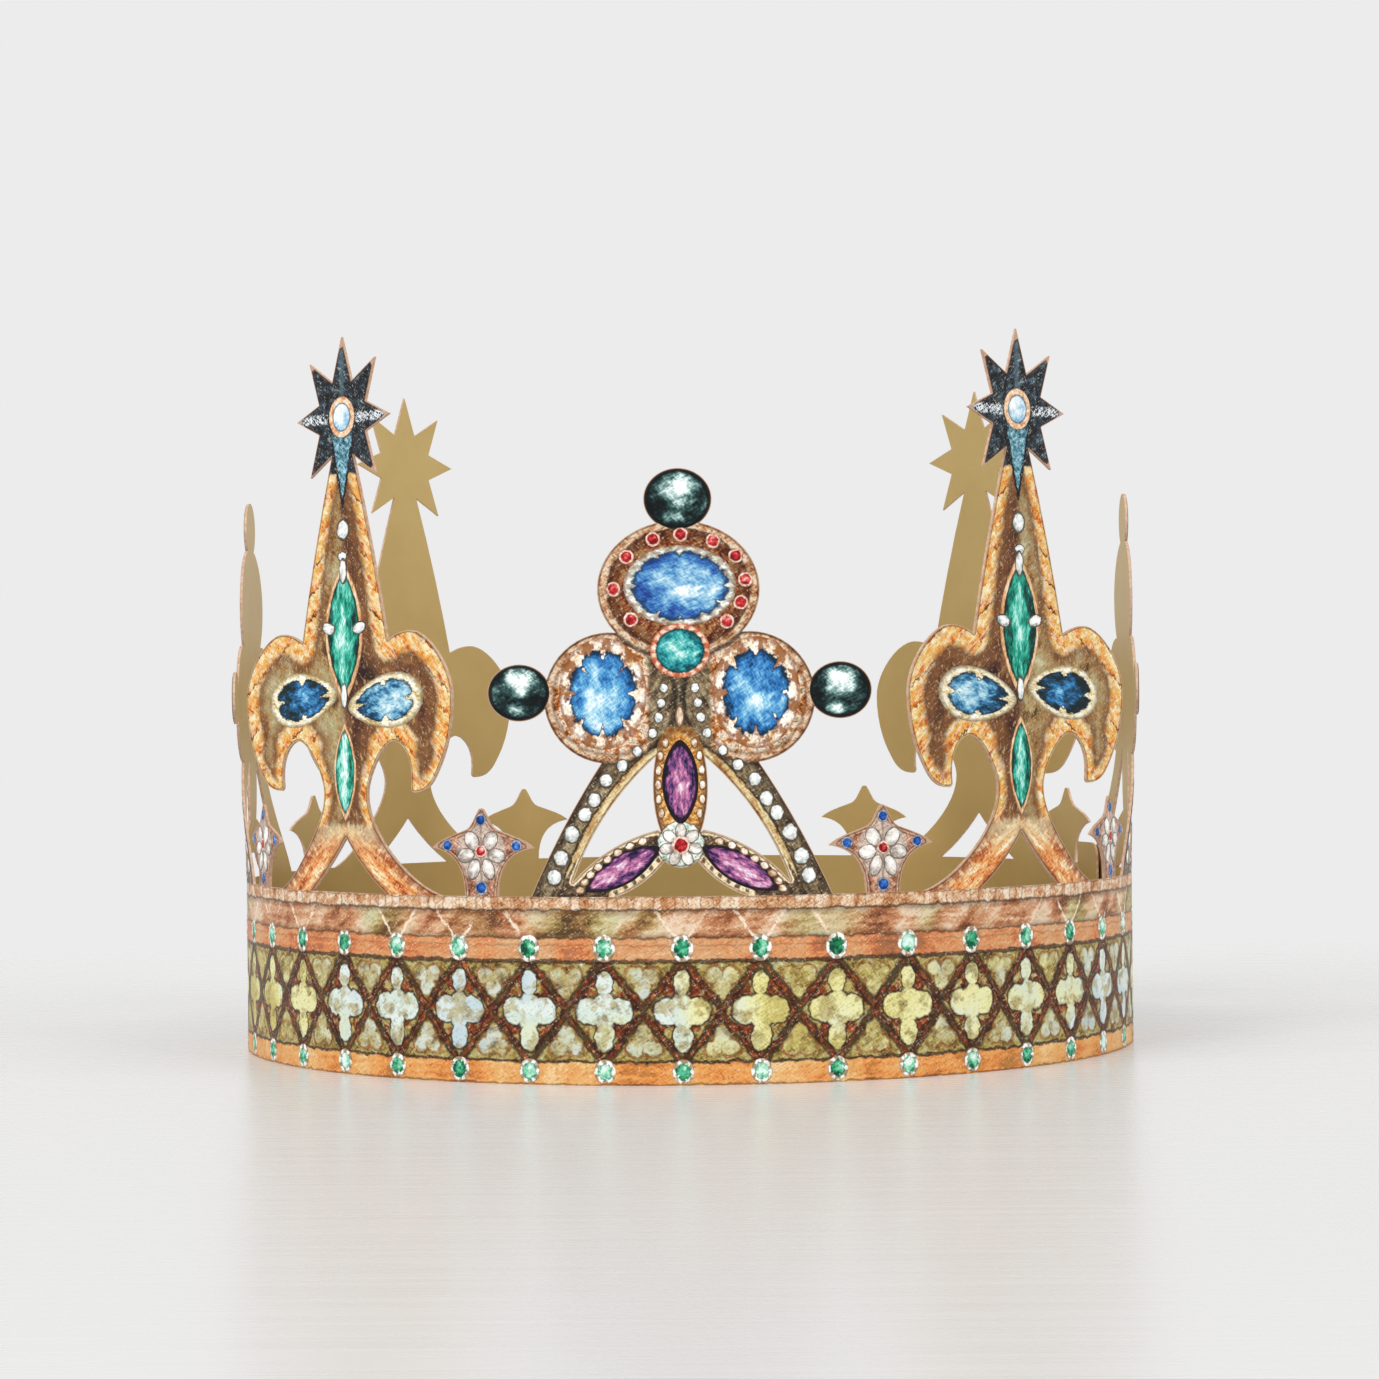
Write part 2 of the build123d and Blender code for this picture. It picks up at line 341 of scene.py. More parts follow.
class PrintPaint(Paint):
    """Paint of a print, with its places on the flat sheet. Its drawn lines stray a little, as by hand."""

    def __init__(self, name: str, reach: float, grain: float = 1.4) -> None:
        """Starts a print, with a seed that differs between ornaments, so that no two are painted alike.

        Args:
            name: The material's name.
            reach: How far drawn lines stray, in millimetres.
            grain: Length of one stray in millimetres.
        """
        super().__init__(name, PRINT_ROUGHNESS, PRINT_SPECULAR)
        self.plain_x, plain_z = self.map_place(SHEET_MAP)
        self.x = self.plain_x + (self.noise(self.plain_x, plain_z, 3.0, grain) - 0.5) * (2.0 * reach)
        self.z = plain_z + (self.noise(self.plain_x, plain_z, 17.0, grain) - 0.5) * (2.0 * reach)
        self.crossed = self.hatching(self.plain_x, plain_z)
        x, y, z = self.body_place()
        self.seed = self.maths("SIGN", x) * 37.0 + self.maths("SIGN", y) * 91.0
        self.edge: Optional[Value] = None

    def drawn_edge(self, share: float = 0.8) -> Value:
        """Distance from the cut edge, where a share of the lines' strays is added."""
        self.edge = self.attribute(EDGE)
        return self.edge + (self.x - self.plain_x) * share

    def field(
        self, x: Value, z: Value, tones: str, grain: float, stretch: float = 1.0, soft: float = 0.55
    ) -> Socket:
        """Field of mottled colour, as a loaded brush leaves it.

        Args:
            x: Across, in millimetres.
            z: Up, in millimetres.
            tones: The colours that it runs through.
            grain: Size of its blotches in millimetres.
            stretch: How many times longer a blotch is across than up.
            soft: Share of the blotches in it. The rest is hatching.

        Returns:
            The colour.
        """
        blotch = self.noise(x / stretch, z, self.seed, grain, 4.0)
        return self.ramp(blotch * soft + self.crossed * (1.0 - soft), tones)


@dataclass(frozen=True)
class PrintInks:
    """What is drawn over every print last: pen strokes, a thin contour and a bare margin."""

    margin: str = "BC9A82"
    contour: str = "4A2E20"
    dark_stroke: str = "3E281C"
    light_stroke: str = "F8ECD2"
    dark_level: float = 0.41
    light_level: float = 0.6
    dark_share: float = 0.4
    light_share: float = 0.35
    contour_place: float = 0.3
    contour_share: float = 0.7
    margin_width: float = 0.12
    tooth_grain: float = 0.3
    tooth_depth: float = 0.012

    def close(self, paint: PrintPaint, colour: Ink) -> bpy.types.Material:
        """Draws strokes where the hatching runs low or high, and the contour and margin of a cut edge.

        Args:
            paint: The print, which has a cut edge where it asked for one.
            colour: All that lies under the strokes.

        Returns:
            The finished material.
        """
        coats = [
            (paint.crossed.below(self.dark_level, 0.03) * self.dark_share, self.dark_stroke),
            (paint.crossed.above(self.light_level, 0.03) * self.light_share, self.light_stroke),
        ]
        if paint.edge is not None:
            contour = paint.edge.near(self.contour_place, 0.13, 0.1) * self.contour_share
            coats += [(contour, self.contour), (paint.edge.below(self.margin_width, 0.05), self.margin)]
        tooth = paint.noise(*paint.body_place(), self.tooth_grain, 2.0)
        roughness = (tooth - 0.5) * 0.2 + PRINT_ROUGHNESS
        return paint.finish(paint.layers(colour, *coats), roughness, tooth, self.tooth_depth)


def put(name: str, data: bpy.types.ID) -> bpy.types.Object:
    """Puts a new object in the scene.

    Args:
        name: Its name.
        data: Its mesh, lamp or camera data.

    Returns:
        The object.
    """
    made = bpy.data.objects.new(name, data)
    bpy.context.scene.collection.objects.link(made)
    return made


def corner_points(mesh: bpy.types.Mesh) -> Array:
    """Which point is at each corner of a mesh's faces.

    Args:
        mesh: The mesh.

    Returns:
        The points' numbers.
    """
    numbers = np.empty(len(mesh.loops), int)
    mesh.loops.foreach_get("vertex_index", numbers)
    return numbers


def new_piece(name: str, points: Array, faces: Array, material: bpy.types.Material) -> bpy.types.Object:
    """A smooth mesh piece that rides on the crown.

    Args:
        name: The piece's name.
        points: Places in metres.
        faces: Corners of each face.
        material: Its finish.

    Returns:
        The piece's object.
    """
    mesh = bpy.data.meshes.new(name)
    mesh.from_pydata(points.tolist(), [], faces.tolist())
    mesh.polygons.foreach_set("use_smooth", np.ones(len(faces), bool))
    mesh.materials.append(material)
    piece = put(name, mesh)
    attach(piece, "root")
    return piece


def add_map(piece: bpy.types.Object, name: str, places: Array) -> None:
    """Gives a piece a map of its own: two numbers for each point."""
    corners = places[corner_points(piece.data)].astype(np.float32)
    piece.data.uv_layers.new(name=name).uv.foreach_set("vector", corners.ravel())


def add_attribute(piece: bpy.types.Object, name: str, numbers: Array) -> None:
    """Gives a piece one number for each point."""
    made = piece.data.attributes.new(name, "FLOAT", "POINT")
    made.data.foreach_set("value", numbers.astype(np.float32))


@dataclass(frozen=True)
class CardFinish:
    """Card stock: matt gold on the back, raw board on the cut edges, ink bleed on the face."""

    gold: str = "BEA46C C2A870 C6AC74"
    board: str = "B08A70 C9A58A D8BBA2"
    bleed: str = "7A4A2A B9783F D9A066"
    gold_metal: float = 0.85

    def materials(self) -> list[bpy.types.Material]:
        """Face, back and cut edge, in that order.

        Returns:
            One material for each, toothed like card.
        """
        looks = (
            ("ink_bleed", self.bleed, 3.0, 0.5, 0.0),
            ("gold_back", self.gold, 14.0, 0.42, self.gold_metal),
            ("cut_board", self.board, 0.8, 0.8, 0.0),
        )
        made = []
        for name, tones, grain, roughness, metal in looks:
            paint = Paint(name, roughness)
            paint.feed(paint.shader.inputs["Metallic"], metal)
            where = paint.body_place()
            tooth = paint.noise(*where, 0.25, 2.0)
            colour = paint.ramp(paint.noise(*where, grain), tones, 0.3, 0.7)
            made.append(paint.finish(colour, roughness + 0.12 * (tooth - 0.5), tooth, 0.02))
        return made


@dataclass
class Card:
    """The cut and bent sheet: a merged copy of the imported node, with a finish on each side."""

    finish: CardFinish = CardFinish()
    digits: int = 7
    outward_share: float = 0.5
    sharp_angle: float = 35.0

    def build(self) -> bpy.types.Object:
        """Copies the node, merges points that agree to some digits, and gives each face its side's finish.

        A face is on the front where the share of its normal that points away from the ring's middle is over
        outward_share, on the back where it is under the negative of that, and on a cut edge elsewhere.

        Returns:
            The card's object.
        """
        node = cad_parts[NODE].data
        points = np.empty(len(node.vertices) * 3)
        node.vertices.foreach_get("co", points)
        rounded = np.round(points.reshape(-1, 3), self.digits)
        merged, first = np.unique(rounded, axis=0, return_inverse=True)
        triangles = first.ravel()[corner_points(node)].reshape(-1, 3)
        triangles = triangles[(triangles != np.roll(triangles, 1, axis=1)).all(1)]

        sides = merged[triangles]
        normals = np.cross(sides[:, 1] - sides[:, 0], sides[:, 2] - sides[:, 0])
        normals /= np.maximum(np.linalg.norm(normals, axis=1, keepdims=True), 1e-20)
        middles = sides.mean(1)
        outward = (normals * middles)[:, :2].sum(1) / np.linalg.norm(middles[:, :2], axis=1)
        self.points = merged / MM
        self.face = triangles[outward > self.outward_share]

        mesh = bpy.data.meshes.new("card")
        mesh.from_pydata(merged.tolist(), [], triangles.tolist())
        side = np.where(outward > self.outward_share, 0, np.where(outward < -self.outward_share, 1, 2))
        mesh.polygons.foreach_set("material_index", side)
        mesh.polygons.foreach_set("use_smooth", np.ones(len(triangles), bool))
        mesh.set_sharp_from_angle(angle=math.radians(self.sharp_angle))
        for material in self.finish.materials():
            mesh.materials.append(material)
        piece = put("card", mesh)
        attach(piece, "root")
        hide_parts(NODE)
        return piece


@dataclass(frozen=True)
class Wall:
    """How the sheet stands at one ornament: round at the band, and flatter further up."""

    flat_height: float = 1.0
    flat_radius: float = RING_RADIUS

    def place(self, across: Array, height: Array, lift: Array, angle: Array) -> Array:
        """Places in space of points on the face of the sheet.

        At each height the sheet is an arc that touches the ring at the ornament's middle. Its bend eases
        from 1 / RING_RADIUS at the band to 1 / flat_radius at flat_height above it, by 3 s^2 - 2 s^3 of the
        share s of the way.

        Args:
            across: Millimetres from the ornament's middle, straight across.
            height: Millimetres above the table.
            lift: Millimetres out from the card's face.
            angle: Degrees round the ring from the front.

        Returns:
            X, Y and Z in metres.
        """
        share = np.clip((height - BAND_HEIGHT) / self.flat_height, 0.0, 1.0)
        eased = share * share * (3.0 - 2.0 * share)
        radius = 1.0 / ((1.0 - eased) / RING_RADIUS + eased / self.flat_radius)
        out = radius - RING_RADIUS - np.sqrt((radius + CARD / 2.0 + lift) ** 2 - across**2)
        turn = np.radians(angle)
        x = across * np.cos(turn) - out * np.sin(turn)
        y = across * np.sin(turn) + out * np.cos(turn)
        return np.stack(np.broadcast_arrays(x, y, height), axis=-1) * MM


def from_edges(spots: Array, ends: Array) -> Array:
    """Distance from each spot to the nearest of some straight edges.

    Args:
        spots: Points, one row each.
        ends: First and last point of each edge.

    Returns:
        For each spot, the shortest way to start + t (end - start), with t held between 0 and 1.
    """
    start, run = ends[:, 0], ends[:, 1] - ends[:, 0]
    away = spots[:, None] - start[None]
    share = np.clip((away * run).sum(2) / (run * run).sum(1), 0.0, 1.0)
    return np.linalg.norm(away - share[:, :, None] * run, axis=2).min(1)


def inside(spots: Array, ends: Array) -> Array:
    """Whether spots lie inside closed outlines: a level line from there crosses them an odd number of times.

    Args:
        spots: Points, one row each.
        ends: First and last point of each edge of the outlines.

    Returns:
        True or false for each spot.
    """
    low, high = ends[:, 0], ends[:, 1]
    spans = (low[:, 1] > spots[:, 1, None]) != (high[:, 1] > spots[:, 1, None])
    rise = np.where(high[:, 1] == low[:, 1], 1.0, high[:, 1] - low[:, 1])
    meets = low[:, 0] + (spots[:, 1, None] - low[:, 1]) / rise * (high[:, 0] - low[:, 0])
    return (spans & (meets > spots[:, 0, None])).sum(1) % 2 == 1


def cut_up(ends: Array, longest: float) -> Array:
    """Divides each edge evenly, so that none is longer than longest.

    Args:
        ends: First and last point of each edge.
        longest: Length in millimetres.

    Returns:
        First and last point of each shorter edge.
    """
    pieces = np.maximum(np.ceil(np.linalg.norm(ends[:, 1] - ends[:, 0], axis=1) / longest), 1).astype(int)
    which = np.repeat(np.arange(len(ends)), pieces)
    order = np.arange(len(which)) - np.repeat(np.cumsum(pieces) - pieces, pieces)
    shares = np.stack([order, order + 1], axis=1) / pieces[which, None]
    start, run = ends[which, 0], ends[which, 1] - ends[which, 0]
    return start[:, None] + shares[:, :, None] * run[:, None]


@dataclass
class Outlines:
    """The cut edges of the card's face above the band, sorted by the ornament that they belong to."""

    points: Array
    face: Array
    tail_height: float = 40.0
    near: float = 0.01

    def __post_init__(self) -> None:
        """Finds the cut edges above the band, and joins them into chains.

        An edge of only one triangle is a cut edge. Every point of a chain takes the lowest number in it.
        """
        edges = np.sort(self.face[:, [0, 1, 1, 2, 2, 0]].reshape(-1, 2), axis=1)
        edges, counts = np.unique(edges, axis=0, return_counts=True)
        heights = self.points[edges, 2]
        low = BAND_HEIGHT + self.near
        self.edges = edges[(counts == 1) & (heights > low - 2 * self.near).all(1) & (heights > low).any(1)]
        chain = np.arange(len(self.points))
        settled = False
        while not settled:
            lowest = chain[self.edges].min(1)
            before = chain.copy()
            np.minimum.at(chain, self.edges[:, 0], lowest)
            np.minimum.at(chain, self.edges[:, 1], lowest)
            chain = chain[chain]
            settled = (chain == before).all()
        self.chain = chain[self.edges[:, 0]]

    def of_ornament(self, angle: float, reach: float) -> Array:
        """Cut edges of the ornament at an angle, seen straight on.

        Args:
            angle: Degrees round the ring from the front.
            reach: How many millimetres from the ornament's middle a chain's own middle may lie.

        Returns:
            Across and height in millimetres of both ends of each edge.
        """
        turn = math.radians(angle)
        x = self.points[:, 0] * math.cos(turn) + self.points[:, 1] * math.sin(turn)
        y = self.points[:, 1] * math.cos(turn) - self.points[:, 0] * math.sin(turn)
        flat = np.stack([x, self.points[:, 2]], axis=1)
        kept = []
        for number in np.unique(self.chain):
            members = self.edges[self.chain == number]
            ends = flat[members]
            front = (y[members] < 0).all()
            middle = (ends[:, :, 0].min() + ends[:, :, 0].max()) / 2
            if front and abs(middle) < reach and ends[:, :, 1].max() > self.tail_height:
                kept.append(ends)
        return np.concatenate(kept)


@dataclass
class Film:
    """Print on the face of one ornament: a thin film that ends at the cut edges."""

    wall: Wall
    pitch: float = 0.9
    lift: float = 0.07
    rim_lift: float = 0.03
    rim_width: float = 0.001
    clear_share: float = 0.45
    near: float = 0.01
    digits: int = 4

    def build(
        self, name: str, ends: Array, angle: float, side: float, material: bpy.types.Material
    ) -> bpy.types.Object:
        """Fills an outline with a grid, joins both into triangles, and bends them with the sheet.

        Args:
            name: The piece's name.
            ends: Cut edges, seen straight on.
            angle: Degrees round the ring.
            side: 1, or -1 where the print is turned round left to right.
            material: The print.

        Returns:
            The film's object, with its distance from the cut edges on its points.
        """
        cuts = cut_up(ends, self.pitch)
        feet = np.sort(ends[ends[:, :, 1] < BAND_HEIGHT + self.near][:, 0])
        sills = np.stack([feet, np.full(len(feet), BAND_HEIGHT)], axis=1).reshape(-1, 2, 2)
        bounds = np.concatenate([cuts, cut_up(sills, self.pitch)])
        low, high = ends.reshape(-1, 2).min(0), ends.reshape(-1, 2).max(0)
        steps = [np.arange(low[i], high[i], self.pitch) for i in (0, 1)]
        grid = np.stack(np.meshgrid(*steps), axis=-1).reshape(-1, 2)
        grid = grid[inside(grid, ends)]
        grid = grid[from_edges(grid, bounds) > self.clear_share * self.pitch]

        rounded = np.round(bounds.reshape(-1, 2), self.digits)
        corners, numbers = np.unique(rounded, axis=0, return_inverse=True)
        spots = np.concatenate([corners, grid])
        lines = numbers.reshape(-1, 2)
        lines = lines[lines[:, 0] != lines[:, 1]]
        made = delaunay_2d_cdt([Vector(spot) for spot in spots], lines.tolist(), [], 0, 1e-6)
        spots = np.array([tuple(spot) for spot in made[0]])
        faces = np.array(made[2])
        faces = faces[inside(spots[faces].mean(1), ends)]
        used, faces = np.unique(faces, return_inverse=True)
        spots, faces = spots[used], faces.reshape(-1, 3)

        far = from_edges(spots, cuts)
        lift = np.where(far < self.rim_width, self.rim_lift, self.lift)
        points = self.wall.place(spots[:, 0], spots[:, 1], lift, np.array(angle))
        piece = new_piece(name, points, faces, material)
        add_map(piece, SHEET_MAP, spots * (side, 1.0))
        add_attribute(piece, EDGE, far)
        return piece


@dataclass(frozen=True)
class StoneFinish:
    """How one kind of stone is painted, from its middle out: body, dark line, clawed rim and contour."""

    name: str
    body: str
    rim: str
    line: str
    gap: str = "5A3A28"
    size: float = 5.0
    grain: float = 2.2
    glow: float = 0.3
    glow_place: tuple[float, float] = (0.15, 0.2)
    low_glow: float = 0.0
    low_glow_place: tuple[float, float] = (-0.1, -0.62)
    glow_reach: float = 2.2
    darkest: float = -0.09
    steep: float = 0.2
    glow_tall: float = 1.0
    fringe: float = 0.03
    body_share: float = 0.85
    line_share: float = 0.05
    rough: float = 0.14
    claws: int = 0
    claw_depth: float = 0.2
    claw_sharpness: float = 7.0
    beads: int = 0
    bead_gap: float = 0.85
    vary: float = 0.25
    spokes: int = 40

    def material(self) -> bpy.types.Material:
        """The paint, which reads how far out on its stone a place is.

        Returns:
            The material. A glow is lightest at its place and fades with the distance from it.
        """
        paint = Paint(self.name, PRINT_ROUGHNESS, PRINT_SPECULAR)
        u, v = paint.map_place(STONE_MAP)
        seed = paint.attribute(SEED)
        x, z = u * self.size, v * self.size
        shift = paint.noise(x, z, seed, 0.9) - 0.5
        facet = paint.noise(x, z, seed, self.grain)
        crossed = paint.hatching(x + seed, z)
        turn = paint.maths("ARCTAN2", v, u)
        out = paint.length(u, v) + shift * self.rough

        own = (paint.noise(seed, 0.5, 0.5, 1.9, 0.0) - 0.5) * self.vary
        from_glow = paint.length(u - self.glow_place[0], (v - self.glow_place[1]) / self.glow_tall)
        glow = ((self.glow * self.glow_reach - from_glow) * self.steep).at_least(self.darkest)
        from_low = paint.length(u - self.low_glow_place[0], (v - self.low_glow_place[1]) * 1.4)
        low_glow = ((self.low_glow * self.glow_reach - from_low) * self.steep).at_least(0.0)
        light = facet * 0.6 + crossed * 0.4 + glow + low_glow + own

        clawed = out
        if self.claws:
            claw = paint.maths("COSINE", turn * self.claws).at_least(0.0) ** self.claw_sharpness
            clawed = out + claw * self.claw_depth * (shift * 2.5 + 0.8)
        rim = paint.ramp(facet * 0.4 + crossed * 0.6, self.rim, 0.4, 0.6)
        if self.beads:
            beads = paint.maths("COSINE", turn * self.beads + shift * 9.0)
            gap = (beads + (facet - 0.5) * 5.0).below(-0.2, 0.6) * (crossed * 1.1 + 0.35)
            rim = paint.mix(gap * self.bead_gap, rim, self.gap)
        line = clawed.above(self.body_share - self.line_share - 0.02, 0.05) * (crossed * 1.2 + 0.35)
        colour = paint.layers(
            paint.ramp(light, self.body, 0.36, 0.66),
            (line, self.line),
            (clawed.above(self.body_share, 0.03), rim),
            (out.above(0.995 - self.fringe, self.fringe) * (crossed + 0.3), self.gap),
        )
        return paint.finish(colour, (crossed - 0.5) * 0.3 + PRINT_ROUGHNESS)


class Kind(Enum):
    """The kinds of painted stone."""

    SAPPHIRE = StoneFinish(
        "sapphires", "1A3678 2A509E 3A70B2 5A96C6 8ABCD8 BCDAE8 F4F9FB",
        "9A8462 C9CCBC F0EFE8 FBFAF7", "1A3A56", gap="7A5232", size=8.0, grain=3.4,
        body_share=0.86, claws=12, claw_depth=0.1, beads=23, bead_gap=0.6, glow=0.27, glow_place=(0.14, 0.0),
        rough=0.2, vary=0.0,
    )
    SIDE_SAPPHIRE = StoneFinish(
        "side_sapphires", "123246 24609E 3A80C0 64AAD4 9CCEE6 D2EAF4 FBFDFD",
        "D2A468 EEDCC0 FAF5EC FCFBF9", "10283C", gap="8C4C12", size=8.0, grain=3.6,
        body_share=0.78, claws=8, beads=11, bead_gap=0.95, glow=0.24, glow_place=(-0.05, -0.12), rough=0.3,
        vary=0.3, fringe=0.05,
    )
    BLUE_DROP = StoneFinish(
        "blue_drops", "0B1B22 143438 1F5C94 3E8CC0 79B8D8 BFE0EA",
        "A8844A E0CE98 F6F0DC FCFAF2", "12222A", gap="7A6A44", size=9.0, grain=3.0, body_share=0.79,
        claws=4, claw_depth=0.26, glow=0.16, glow_place=(0.0, -0.1), rough=0.2, fringe=0.07,
    )
    PALE_DROP = replace(
        BLUE_DROP, name="pale_drops", body="10283A 1F5A86 5A9CC0 9CCADC CFE6EC F2F8F8", line="14262E",
        glow=0.26, glow_place=(0.05, 0.35),
    )
    EMERALD = StoneFinish(
        "emeralds", "0A2A28 0D5A4C 198A72 30B096 78D2C0 C2EEE4 F2FBF8",
        "B5703A E3B684 F6E9CC", "0C221A", gap="8A4E28", size=8.0, grain=2.4, body_share=0.84,
        glow=0.17, glow_place=(-0.05, 0.1), glow_tall=3.0, steep=0.3,
    )
    TEAL = StoneFinish(
        "teal_stones", "0B3A44 18707A 2E9EA0 66C2BC ACE0D8 EDF8F4",
        "D9603A EFC8A4 F8F1E4", "0E3A40", gap="B04A28", grain=1.8, body_share=0.82, beads=17,
        bead_gap=0.9, glow=0.28, glow_place=(-0.1, 0.05), rough=0.16, fringe=0.04,
    )
    AMETHYST = StoneFinish(
        "amethysts", "171226 3A2650 72487E B0608E CE8CAE DCC2D6 FAF4F8",
        "15100E 2E2420", "140F1C", gap="140F1C", size=7.0, grain=2.0, body_share=0.92, line_share=0.08,
        glow=0.24, glow_place=(0.0, -0.2), glow_tall=1.6,
    )
    RUBY = StoneFinish(
        "rubies", "6E1014 A81C22 CC3A3A E88880 FBE4DE", "A0624A E2B8A4 F6E6DA", "7A1A1A",
        gap="3A1A12", size=1.5, grain=1.0, body_share=0.7, line_share=0.02, glow=0.1, rough=0.5, spokes=18,
    )
    SMALL_BLUE = StoneFinish(
        "small_sapphires", "12306E 1F4FA4 3F7CCC 9CC4EA", "3A4A66 8A94A6 C8CED4", "101F40",
        gap="1C2036", size=1.2, grain=0.9, body_share=0.74, glow=0.14, rough=0.2, spokes=16,
    )
    MOONSTONE = StoneFinish(
        "moonstones", "6CA0C4 A8CEE2 E0EEF3 FAFCFC", "C8703A EDC79C FBF5EA", "4A5A66",
        gap="2A2C30", size=4.0, grain=1.6, body_share=0.7, glow=0.36, glow_place=(-0.3, 0.3),
    )
    ORB = StoneFinish(
        "dark_orbs", "090F10 122022 26403F 4A6A68 8AACA8 D2E4E0 F6FAF8",
        "0A1011 1C2A2C", "070B0C", gap="2A1E1A", size=5.5, grain=3.4, body_share=0.97, line_share=0.06,
        glow=0.24, glow_place=(0.06, 0.36), low_glow=0.2, steep=0.5, vary=0.05,
    )
    RAIL_EMERALD = StoneFinish(
        "rail_emeralds", "0B4A34 208458 44AC82 7ACCA8 B0E2CC E2F4EC",
        "A8B4A0 E6EAE0 F8F9F5 FCFCFA", "1F5A44", gap="8A6A44", size=2.0, grain=1.2,
        body_share=0.68, line_share=0.03, claws=5, beads=6, bead_gap=0.9, glow=0.2, rough=0.5, vary=0.5,
        spokes=22, fringe=0.06,
    )
    PEARL = StoneFinish(
        "pearls", "8C9694 C8CECB F0F1EE FBFBF9", "3E342A 6E6454", "5A5044", gap="3A3028",
        size=1.6, grain=1.0, body_share=0.8, line_share=0.0, rough=0.6, vary=0.1, spokes=16,
    )
    CREAM_BEAD = StoneFinish(
        "cream_beads", "A87C58 D9C0A6 F2EADC FAF8F2", "5A3E26 8A6844", "5A4430", gap="4A3422",
        size=1.2, grain=1.0, body_share=0.74, line_share=0.0, glow=0.2, rough=0.8, vary=0.3, spokes=14,
    )
    PETAL = StoneFinish(
        "petals", "948880 CAC2B8 ECE8E2 FAF9F7", "5A483E 9A8A7E", "5A4A44", gap="4A3A30",
        size=1.6, grain=1.2, body_share=0.88, line_share=0.0, rough=0.36, spokes=18,
    )


@dataclass(frozen=True)
class Stone:
    """One painted stone, with its sizes in millimetres on the flat sheet."""

    kind: Kind
    x: float
    z: float
    half_width: float
    half_height: float
    turn: float = 0.0
    pointed: float = 0.0
    taper: float = 0.0
    layer: float = 0.0

    def twin(self) -> "Stone":
        """The same stone on the other side of its ornament."""
        return replace(self, x=-self.x, turn=-self.turn)


def both(*stones: Stone) -> list[Stone]:
    """Stones and their twins."""
    return [each for stone in stones for each in (stone, stone.twin())]


@dataclass
class StoneSet:
    """All stones of one kind round the crown, as thin low domes on the print."""

    kind: Kind
    rings: tuple[float, ...] = (0.4, 0.75, 0.94, 1.0)
    domes: tuple[float, ...] = (0.05, 0.045, 0.04, -0.02)
    base: float = 0.09
    layer_step: float = 0.05
    seed_step: float = 7.3
    rows: list = field(default_factory=list)

    def add(self, stone: Stone, wall: Wall, angle: float, side: float = 1.0) -> None:
        """Notes a stone's sizes, or its twin's where side is -1, and where its ornament stands."""
        sizes = astuple(stone if side > 0 else stone.twin())[1:]
        self.rows.append((*sizes, angle, wall.flat_height, wall.flat_radius))

    def build(self) -> bpy.types.Object:
        """Lays every stone as rings round a middle point.

        A point of the unit disc (u, v) goes to (w u, h v) on an oval, and to (w u sqrt(1 - v^2), h v) on a
        pointed stone, where w and h are half its width and height. A taper t makes it narrower at the foot,
        by 1 - t (1 - v) / 2. It is then turned about the stone's middle.

        Returns:
            One object with all the stones.
        """
        finish = self.kind.value
        turn = np.linspace(0.0, 2.0 * math.pi, finish.spokes, endpoint=False)
        u = np.concatenate([[0.0], np.outer(self.rings, np.cos(turn)).ravel()])
        v = np.concatenate([[0.0], np.outer(self.rings, np.sin(turn)).ravel()])
        dome = np.concatenate([[self.domes[0]], np.repeat(self.domes, finish.spokes)])

        rows = np.array(self.rows)[:, :, None].transpose(1, 0, 2)
        x, z, width, height, lean, pointed, taper, layer, angle, flat_height, flat_radius = rows
        narrow = 1.0 - pointed * (1.0 - np.sqrt(np.clip(1.0 - v * v, 0.0, 1.0)))
        narrow = narrow * (1.0 - taper * (1.0 - v) / 2.0)
        flat_x, flat_z = width * u * narrow, height * v
        lean = np.radians(lean)
        across = x + flat_x * np.cos(lean) - flat_z * np.sin(lean)
        up = z + flat_x * np.sin(lean) + flat_z * np.cos(lean)
        lift = self.base + layer * self.layer_step + dome
        points = Wall(flat_height, flat_radius).place(across, up, lift, angle)

        spoke = np.arange(finish.spokes)
        after = (spoke + 1) % finish.spokes
        fan = np.stack([np.zeros_like(spoke), 1 + spoke, 1 + after], axis=1)
        starts = 1 + finish.spokes * np.arange(len(self.rings) - 1)[:, None]
        outer = starts + finish.spokes
        corners = (starts + spoke, outer + spoke, outer + after, starts + after)
        quads = np.stack(corners, axis=-1).reshape(-1, 4)
        faces = np.concatenate([fan, quads[:, [0, 1, 2]], quads[:, [0, 2, 3]]])
        stones, count = len(self.rows), len(u)
        all_faces = (faces[None] + count * np.arange(stones)[:, None, None]).reshape(-1, 3)
        piece = new_piece(finish.name, points.reshape(-1, 3), all_faces, finish.material())
        add_map(piece, STONE_MAP, np.tile(np.stack([u, v], axis=1), (stones, 1)))
        add_attribute(piece, SEED, np.repeat(self.seed_step * np.arange(stones), count))
        return piece


